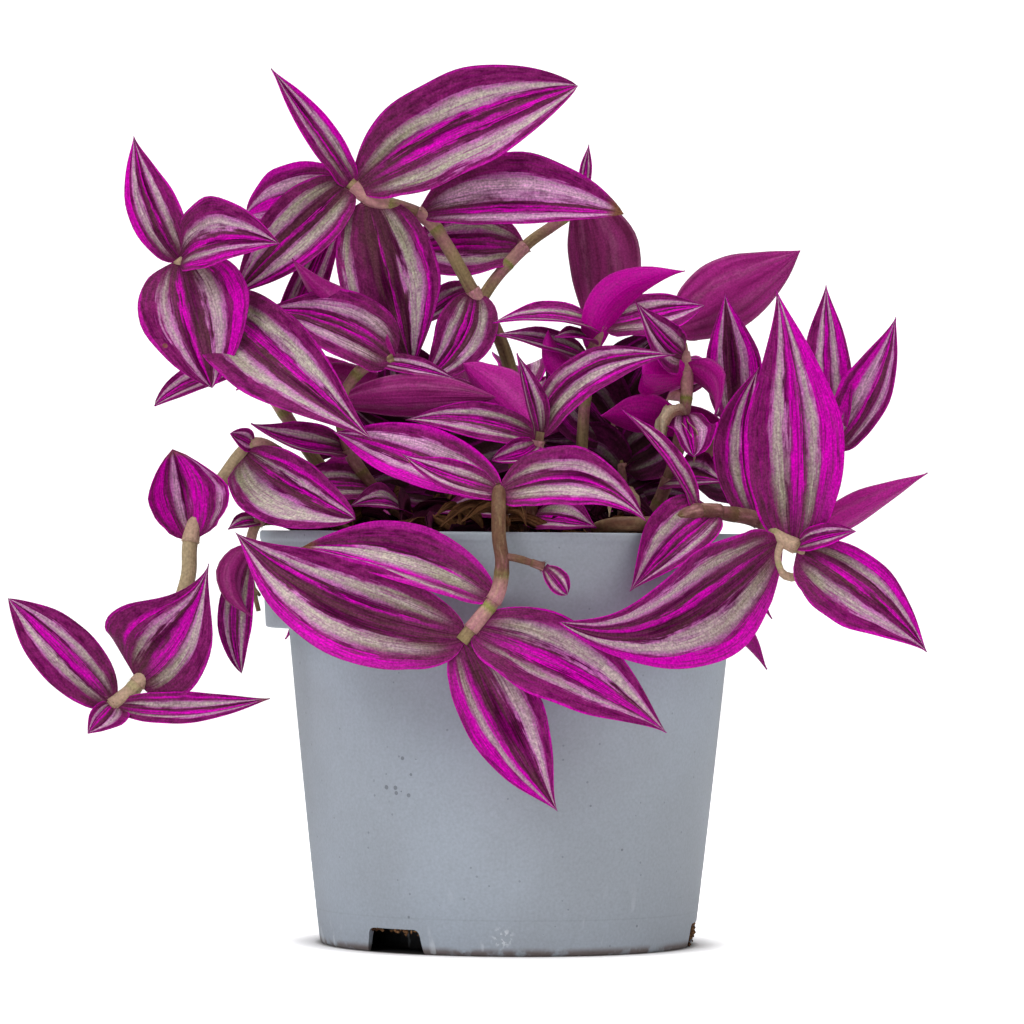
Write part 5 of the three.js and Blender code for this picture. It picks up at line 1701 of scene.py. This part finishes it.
# ---------------------------------------------------------------- pot and potting mix
@dataclass(frozen=True)
class Pot:
    """The moulded nursery pot: a tapered wall, a collar that steps out, and drain notches in its foot."""

    wall: float = 1.1
    height: float = 99.6
    foot_radius: float = 45.2
    shoulder_radius: float = 53.4
    shoulder_height: float = 76.2
    collar_radius: float = 59.0
    rim_radius: float = 60.5
    channel_height: float = 6.5
    pad_radius: float = 34.0
    notch_height: float = 5.8
    notch_foot: float = 17.0
    notch_top: float = 14.0
    notch_azimuths: tuple[float, ...] = (-126.0, -6.0, 114.0)
    sides: int = 160

    def wall_radius(self, z: float) -> float:
        """Give the outside radius of the tapered wall at a height."""
        rise = (z / self.shoulder_height) ** 0.92
        return self.foot_radius + (self.shoulder_radius - self.foot_radius) * rise

    def outline(self) -> list[tuple[float, float]]:
        """Draw the pot's section, up the outside and down the inside.

        Returns:
            Radius and height of its points.
        """
        wall, top, channel, high = self.wall, self.height, self.channel_height, self.shoulder_height
        foot, pad, shoulder = self.foot_radius, self.pad_radius, self.shoulder_radius
        collar, rim = self.collar_radius, self.rim_radius
        floor, step, mouth = wall + 0.2, high + wall, rim - wall - 0.2
        tapered = [(self.wall_radius(z), z, 0.0) for z in (1.6, 8.2, 8.5, 20.0, 32.0, 44.0, 56.0, 68.0, 74.6)]
        inside = [(self.wall_radius(z) - wall, z, 0.0) for z in (74.0, 56.0, 38.0, 20.0, 9.5)]
        return rounded([
            (0.0, 0.3, 0.0), (12.0, 0.0, 1.0), (pad, 0.0, 0.8), (pad + 1.6, channel, 0.8),
            (foot - wall, channel, 0.6), (foot - wall, 0.3, 0.3), (foot - 0.5, 0.0, 0.0), (foot, 0.5, 0.0),
            *tapered, (shoulder, high, 0.5), (collar, high, 0.7), (rim - 0.25, top - 2.6, 0.6),
            (rim + 0.1, top - 1.9, 0.4), (rim + 0.1, top, 0.7), (mouth, top, 0.4), (mouth, top - 2.2, 0.3),
            (collar - wall, step, 0.7), (shoulder - wall, step - 1, 0.5), *inside,
            (self.wall_radius(channel) - wall, channel + floor, 0.5), (pad + 0.6, channel + floor, 0.6),
            (pad - 1, floor, 0.5), (0.0, floor, 0.0),
        ])

    def cutter(self, azimuth: float) -> bpy.types.Object:
        """Make the block that cuts one drain notch, its upper corners rounded.

        Args:
            azimuth: Where round the pot it cuts, in degrees from +X.

        Returns:
            The cutting block.
        """
        top, foot, high = self.notch_top / 2, self.notch_foot / 2, self.notch_height
        shape = rounded([(-foot, -1.0, 0.0), (-top - 0.2, high, 1.4),
                         (top + 0.2, high, 1.4), (foot, -1.0, 0.0)])
        near, far = self.foot_radius - self.wall - 5, self.foot_radius + 4
        points = [np.array([x, -y, z]) for y in (near, far) for x, z in shape]
        count = len(shape)
        faces = [tuple(range(count)), tuple(range(count, 2 * count))[::-1]]
        faces += [((j + 1) % count, j, count + j, count + (j + 1) % count) for j in range(count)]
        mesh = bpy.data.meshes.new("notch_cutter")
        mesh.from_pydata((np.array(points) * MM).tolist(), [], faces)
        mesh.transform(Matrix.Rotation(math.radians(azimuth + 90), 4, "Z"))
        return linked("notch_cutter", mesh)

    def build(self, plastic: Material) -> bpy.types.Object:
        """Turn the pot, cut its notches and dress it.

        Args:
            plastic: Its material.

        Returns:
            The pot.
        """
        work = Patchwork()
        work.add(*lathe(self.outline(), self.sides))
        pot = work.make("nursery_pot", [plastic], "pot_plastic", nodes=["pot"])
        for azimuth in self.notch_azimuths:
            block = self.cutter(azimuth)
            cut = pot.modifiers.new("notch", "BOOLEAN")
            cut.object = block
            cut.operation = "DIFFERENCE"
            cut.solver = "EXACT"
            bpy.context.view_layer.objects.active = pot
            bpy.ops.object.modifier_apply(modifier=cut.name)
            bpy.data.objects.remove(block)
        pot.data.polygons.foreach_set("use_smooth", [True] * len(pot.data.polygons))
        pot.data.set_sharp_from_angle(angle=math.radians(38))
        return pot


CRUMB_POINTS = np.array([(1, 0, 0), (-1, 0, 0), (0, 1, 0), (0, -1, 0), (0, 0, 1), (0, 0, -1)], float)
CRUMB_FACES = [(0, 2, 4), (2, 1, 4), (1, 3, 4), (3, 0, 4), (2, 0, 5), (1, 2, 5), (3, 1, 5), (0, 3, 5)]


@dataclass(frozen=True)
class PottingMix:
    """The mix that fills the pot, lumpy on top, with loose crumbs and bark, and crumbs at the notches."""

    pot: Pot
    edge_height: float = 93.2
    crown_height: float = 96.0
    gap: float = 0.3
    crumbs: int = 520
    barks: int = 150
    seed: int = 7

    def top(self, x: float, y: float) -> float:
        """Give the height of the surface at a place, in millimetres."""
        radius = math.hypot(x, y)
        share = min(1.0, radius / (self.pot.rim_radius - self.pot.wall))
        height = self.crown_height + (self.edge_height - self.crown_height) * share**2
        return height + 0.8 * math.sin(x * 0.31 + 1) * math.cos(y * 0.27) + 0.35 * math.sin(x * 0.9 + y * 1.3)

    def bed(self, earth: Material) -> bpy.types.Object:
        """Make the body of the mix.

        Args:
            earth: Its material.

        Returns:
            The bed.
        """
        pot, gap, height = self.pot, self.gap, self.edge_height
        floor = pot.wall + 0.2 + gap
        channel = pot.channel_height + floor
        step = pot.shoulder_height + pot.wall + gap
        inner = [pot.wall_radius(z) - pot.wall - gap for z in (channel, 38.0, 74.0)]
        edge = pot.rim_radius - pot.wall - gap - (pot.height - height) * 0.085 - 0.4
        outline = [(0.0, floor), (pot.pad_radius - 1 - gap, floor), (pot.pad_radius + 0.6 - gap, channel),
                   (inner[0], channel), (inner[1], 38.0), (inner[2], 74.0),
                   (pot.shoulder_radius - pot.wall - gap, step),
                   (pot.collar_radius - pot.wall - gap - 0.2, step), (edge, height)]
        outline += [(edge * share, height + 0.2) for share in np.linspace(0.97, 0.03, 34)]
        outline.append((0.0, self.crown_height))
        points, faces = lathe(outline, 120)
        chance = random.Random(self.seed)
        for point in points:
            if point[2] > height - 0.1 and math.hypot(point[0], point[1]) < edge - 0.1:
                point[2] = self.top(point[0], point[1]) + chance.uniform(-0.55, 0.55)
        work = Patchwork()
        work.add(points, faces)
        return work.make("potting_mix", [earth], "potting_mix", nodes=["soil"])

    def loose(self, earth: Material, bark: Material) -> None:
        """Scatter crumbs and bark over the bed.

        Args:
            earth: The crumbs' material.
            bark: The bark's material.
        """
        chance = random.Random(self.seed + 1)
        limit = self.pot.rim_radius - self.pot.wall - 3
        for name, skin, count, size, length in (("soil_crumbs", earth, self.crumbs, (0.5, 1.7), 1.0),
                                                ("bark_bits", bark, self.barks, (0.5, 1.2), 3.2)):
            work = Patchwork()
            for _ in range(count):
                radius, angle = limit * math.sqrt(chance.random()), chance.uniform(0, TURN)
                x, y = radius * math.cos(angle), radius * math.sin(angle)
                body = CRUMB_POINTS * [chance.uniform(0.8, 1.2) for _ in range(3)]
                body = body * [length, 1, 0.6] * chance.uniform(*size)
                turn = Matrix.Rotation(chance.uniform(0, 6.3), 3, "Z")
                turn = np.array(turn @ Matrix.Rotation(chance.uniform(-0.5, 0.5), 3, "X"))
                work.add(body @ turn.T + [x, y, self.top(x, y) + 0.4], CRUMB_FACES)
            work.make(name, [skin], "potting_mix", smooth=False)

    def spilled(self, bark: Material) -> None:
        """Stick crumbs of mix to the upper edges of the drain notches that show.

        Args:
            bark: The crumbs' material.
        """
        chance = random.Random(self.seed + 2)
        pot, work = self.pot, Patchwork()
        for azimuth, count, drop in ((pot.notch_azimuths[0], 34, 0.5), (pot.notch_azimuths[1], 60, 3.0)):
            for _ in range(count):
                height = max(0.6, pot.notch_height - abs(chance.gauss(0, drop)))
                radius = pot.wall_radius(height) - chance.uniform(0.2, 1.4)
                angle = math.radians(azimuth) + chance.uniform(-0.5, 0.5) * pot.notch_top / radius
                body = CRUMB_POINTS * [chance.uniform(0.25, 0.7) for _ in range(3)]
                turn = np.array(Matrix.Rotation(chance.uniform(0, 6.3), 3, "Z"))
                place = [radius * math.cos(angle), radius * math.sin(angle), height]
                work.add(body @ turn.T + place, CRUMB_FACES)
        work.make("spilled_mix", [bark], "potting_mix", smooth=False)


@dataclass(frozen=True)
class DryLitter:
    """Old leaves and sheaths that have withered on the mix, heaped about the feet of the stems. The dark
    wilted ones are partly real litter and partly painted shade: their very dark colour stands for the deep
    shade among the stems' feet.
    """

    mix: PottingMix
    heap: float = 11.0  # height of the heap in its middle
    reach: float = 51.0
    brown: int = 70
    wilted_painted_shade: int = 110
    seed: int = 19

    by_the_rim: tuple[tuple[Point, Point, float], ...] = (
        ((-2, -53, 105.5), (-17, -56, 100.6), 4.5),
        ((-4, -54, 106), (-12, -57.5, 101.8), 5.0),
        ((-7, -52, 101), (-14.5, -57, 105), 4.0),
        ((-1, -52, 101), (-9, -56, 103.5), 5.5),
        ((-12, -50, 101.5), (-18.5, -55.5, 103), 4.0),
        ((-3, -48, 103), (4, -54, 101), 4.5),
    )
    papery: tuple[tuple[Point, Point, float], ...] = (
        ((41.6, -15, 128), (37, -23, 119.5), 7.5),
        ((42, -15.5, 126), (44.5, -22, 117), 6.5),
        ((31, -38, 106), (24, -47, 103.5), 6.0),
    )

    def scrap(self, work: Patchwork, base: np.ndarray, tip: np.ndarray, width: float,
              chance: random.Random) -> None:
        """Add one withered leaf, rolled and twisted.

        Args:
            work: The mesh that it joins.
            base: Where it starts.
            tip: Where it ends.
            width: Its width when it was flat.
            chance: Where its own form comes from.
        """
        face = (chance.uniform(-1, 1), chance.uniform(-1, 0.2), 1.0)
        ranges = {"arch": (0.05, 0.35), "sway": (-0.2, 0.2), "fold": (0.3, 0.9), "cup": (0.8, 2.2),
                  "twist": (-1.6, 1.6), "wave": (0.1, 0.35)}
        form = {way: chance.uniform(*limits) for way, limits in ranges.items()}
        leaf = Leaf(f"scrap {chance.random():.4f}", tuple(base), tuple(tip), width, face, seen=False, **form)
        leaf.build(work, base, tip)

    def heaped(self, work: Patchwork, count: int, chance: random.Random) -> None:
        """Heap scraps inside the rim, higher towards the middle.

        Args:
            work: The mesh that they join.
            count: How many there are.
            chance: Where they lie.
        """
        for _ in range(count):
            radius, angle = self.reach * math.sqrt(chance.random()), chance.uniform(0, TURN)
            x, y = radius * math.cos(angle), radius * math.sin(angle)
            lift = 0.8 + chance.random() * self.heap * (1 - (radius / (self.reach + 9)) ** 2)
            turn, length = chance.uniform(0, TURN), chance.uniform(9, 18)
            far_x, far_y = x + length * math.cos(turn), y + length * math.sin(turn)
            if math.hypot(far_x, far_y) > self.reach + 3:
                continue
            low = self.mix.top(far_x, far_y) + 0.9
            rise = max(low, self.mix.top(x, y) + lift + chance.uniform(-4, 4))
            start = np.array([x, y, self.mix.top(x, y) + lift])
            self.scrap(work, start, np.array([far_x, far_y, rise]), chance.uniform(4.5, 8.5), chance)

    def build(self, dry: Material, wilted_painted_shade: Material, papery: Material) -> None:
        """Make the heap, the dry sheaths at the front of the rim and the papery ones on the stems.

        Args:
            dry: The finish of the brown ones.
            wilted_painted_shade: The finish of the dark ones, very dark as painted shade.
            papery: The finish of the pale ones.
        """
        chance = random.Random(self.seed)
        for name, skin, count, placed in (("dry_leaves", dry, self.brown, self.by_the_rim),
                                          ("wilted_leaves_painted_shade", wilted_painted_shade, self.wilted_painted_shade, ()),
                                          ("papery_sheaths", papery, 0, self.papery)):
            work = Patchwork()
            self.heaped(work, count, chance)
            for base, tip, width in placed:
                self.scrap(work, sighted(base), sighted(tip), width, chance)
            work.make(name, [skin, skin], "potting_mix")


@dataclass(frozen=True)
class Twig:
    """A thin dry shoot that hangs over the left of the rim."""

    points: tuple[Point, ...] = ((-50, -17, 99), (-57, -20, 101.4), (-61.5, -22, 100.5), (-63.5, -23, 95),
                                 (-62.8, -23, 89), (-61.8, -22.5, 84), (-60.8, -23, 80))
    radius: float = 0.65

    def build(self, bark: Material) -> None:
        """Make the shoot with two short stubs."""
        work = Patchwork()
        Stalk(self.points, self.radius).build(work, (0.35, 0.62, 0.85), 3.0)
        for start, end in (((-63.2, -23, 93), (-65.5, -25, 90.5)), ((-62.2, -22.8, 86), (-60.6, -25, 83.8))):
            middle = tuple((a + b) / 2 for a, b in zip(start, end))
            Stalk((start, middle, end), self.radius * 0.6).build(work, (0.9,), 5.0)
        work.make("dry_shoot", [bark], "potting_mix")


# ---------------------------------------------------------------- stage
@dataclass(frozen=True)
class Studio:
    """The pale floor, the soft lights and the camera at the photograph's place."""

    eye: Point = (0.0005, -1.34, 0.0989)
    lens: float = 194.2
    shift_up: float = 0.0225
    roll: float = 0.45  # degrees
    floor_reach: float = 2.4
    floor_glow: float = 0.75
    # The painted contact shadow under the foot fades between these radii.
    painted_contact_shadow: Band = (0.0436, 0.0475)  # the radii between which the dark line under the foot fades
    clearing: Band = (0.043, 0.058)  # the radii between which the glow comes up
    ambient: float = 0.38
    backdrop: float = 0.9  # added to it where the camera sees it
    target: Point = (0, 0, 0.1)
    lamps: tuple[tuple[str, Point, float, float, Point], ...] = (  # name, place, size, watts and tint
        ("key", (-0.8, -1.1, 1.1), 0.8, 9.5, (1.0, 1.0, 1.0)),
        ("fill", (1.3, -0.8, 0.7), 1.0, 3.5, (1.0, 0.93, 0.86)),
        ("top", (0.0, -0.1, 1.6), 1.0, 12.0, (1.0, 1.0, 1.0)),
    )

    def floor(self) -> None:
        """Lay the floor, glowing white where the camera sees it away from the pot, with a painted contact
        shadow where the pot stands.
        """
        mesh = bpy.data.meshes.new("floor")
        r = self.floor_reach
        mesh.from_pydata([(-r, -r, 0), (r, -r, 0), (r, r, 0), (-r, r, 0)], [], [(0, 1, 2, 3)])
        skin = Skin("floor_paper")
        graph = skin.graph
        colour = graph.between(graph.noise(graph.here(), 400.0, 2.0), (250, 250, 250), (255, 255, 255))
        left_right, depth_way, _ = graph.split(graph.here())
        # Painted contact shadow: a dark ring on the floor where the pot's foot stands.
        painted_contact_shadow = graph.spot(left_right, depth_way, (0.0, 0.0), *self.painted_contact_shadow)
        clear = graph.rest(graph.spot(left_right, depth_way, (0.0, 0.0), *self.clearing))
        seen = graph.node("ShaderNodeLightPath").outputs["Is Camera Ray"]
        graph.feed(skin.shader, {
            "Base Color": graph.tint(colour, painted_contact_shadow, (58, 56, 56)),
            "Roughness": 0.9,
            "Specular IOR Level": 0.1,
            "Emission Color": (1, 1, 1, 1),
            "Emission Strength": graph.times(graph.times(seen, clear), self.floor_glow),
        })
        mesh.materials.append(skin.material)
        linked("floor", mesh)

    def world(self) -> None:
        """Light everything softly from all round, before a white ground."""
        world = bpy.data.worlds.new("studio")
        bpy.context.scene.world = world
        world.use_nodes = True
        graph = Graph(world.node_tree)
        world.node_tree.nodes.clear()
        seen = graph.node("ShaderNodeLightPath").outputs["Is Camera Ray"]
        strength = graph.plus(self.ambient, graph.times(seen, self.backdrop))
        sky = graph.node("ShaderNodeBackground", {"Color": (1, 1, 1, 1), "Strength": strength})
        graph.node("ShaderNodeOutputWorld", {"Surface": sky.outputs[0]})

    def lamp(self, name: str, place: Point, size: float, power: float, tint: Point) -> None:
        """Hang one soft square lamp that looks at the middle of the plant."""
        light = bpy.data.lights.new(name, "AREA")
        light.size, light.energy, light.color = size, power, tint
        lamp = linked(name, light)
        lamp.location = place
        lamp.rotation_euler = (Vector(self.target) - Vector(place)).to_track_quat("-Z", "Y").to_euler()

    def camera(self) -> None:
        """Set up the camera."""
        data = bpy.data.cameras.new("camera")
        data.lens = self.lens
        data.shift_y = self.shift_up
        data.clip_end = 30
        camera = linked("camera", data)
        camera.location = self.eye
        level = Matrix.Rotation(math.radians(90), 3, "X")
        camera.rotation_euler = (level @ Matrix.Rotation(math.radians(self.roll), 3, "Z")).to_euler()
        bpy.context.scene.camera = camera

    def build(self) -> None:
        """Set the whole stage."""
        self.camera()
        self.floor()
        self.world()
        for lamp in self.lamps:
            self.lamp(*lamp)
        bpy.context.scene.view_settings.view_transform = "Standard"


# ---------------------------------------------------------------- the whole plant
def finishes() -> dict[str, Material]:
    """Build every material of the plant and pot.

    Returns:
        The materials by name.
    """
    made = {
        "leaf_upper": LeafFinish(),
        "leaf_underside": UndersideFinish(),
        "stalk": StalkFinish("stalk_skin"),
        "sleeve": StalkFinish("sleeve_skin", body=(192, 160, 132), mottle=(166, 112, 118),
                              ring=(160, 164, 96), blush=(190, 126, 142), roughness=0.55),
        "plastic": PotFinish(),
        "earth": EarthFinish("potting_earth"),
        "bark": EarthFinish("bark_brown", dark=(70, 46, 32), light=(140, 104, 72), fleck_share=0.02),
        "dry": WitheredFinish("dry_leaf", (70, 42, 30), (146, 102, 66), (176, 136, 92)),
        # Very dark wilted leaves: partly painted shade among the stems' feet.
        "wilted_painted_shade": WitheredFinish("wilted_leaf_painted_shade", (34, 8, 22), (92, 26, 62), (128, 56, 88)),
        "papery": WitheredFinish("papery_sheath", (178, 150, 118), (224, 206, 176), (196, 128, 120)),
        "twig": StalkFinish("dry_bark", body=(104, 70, 48), mottle=(56, 36, 28), ring=(74, 50, 36),
                            blush=(92, 58, 44), roughness=0.8),
    }
    return {name: finish.material() for name, finish in made.items()}


def build_all() -> None:
    """Build the studio, the pot, its mix and every leafy stem."""
    Studio().build()
    skins = finishes()
    pot = Pot()
    pot.build(skins["plastic"])
    mix = PottingMix(pot)
    mix.bed(skins["earth"])
    mix.loose(skins["earth"], skins["bark"])
    mix.spilled(skins["bark"])
    DryLitter(mix).build(skins["dry"], skins["wilted_painted_shade"], skins["papery"])
    Twig().build(skins["twig"])
    for stem in [*front_stems(), *BackStems().stems()]:
        stem.build(skins)


def corners(bounds: Iterable[Sequence[float]]) -> list[list[float]]:
    """Turn a box into plain lists of numbers."""
    return [[float(number) for number in corner] for corner in bounds]


def main() -> None:
    """Dress the model."""
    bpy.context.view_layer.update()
    build_all()


if __name__ == "__main__":
    logging.basicConfig(level=logging.INFO, format="%(message)s")
    main()
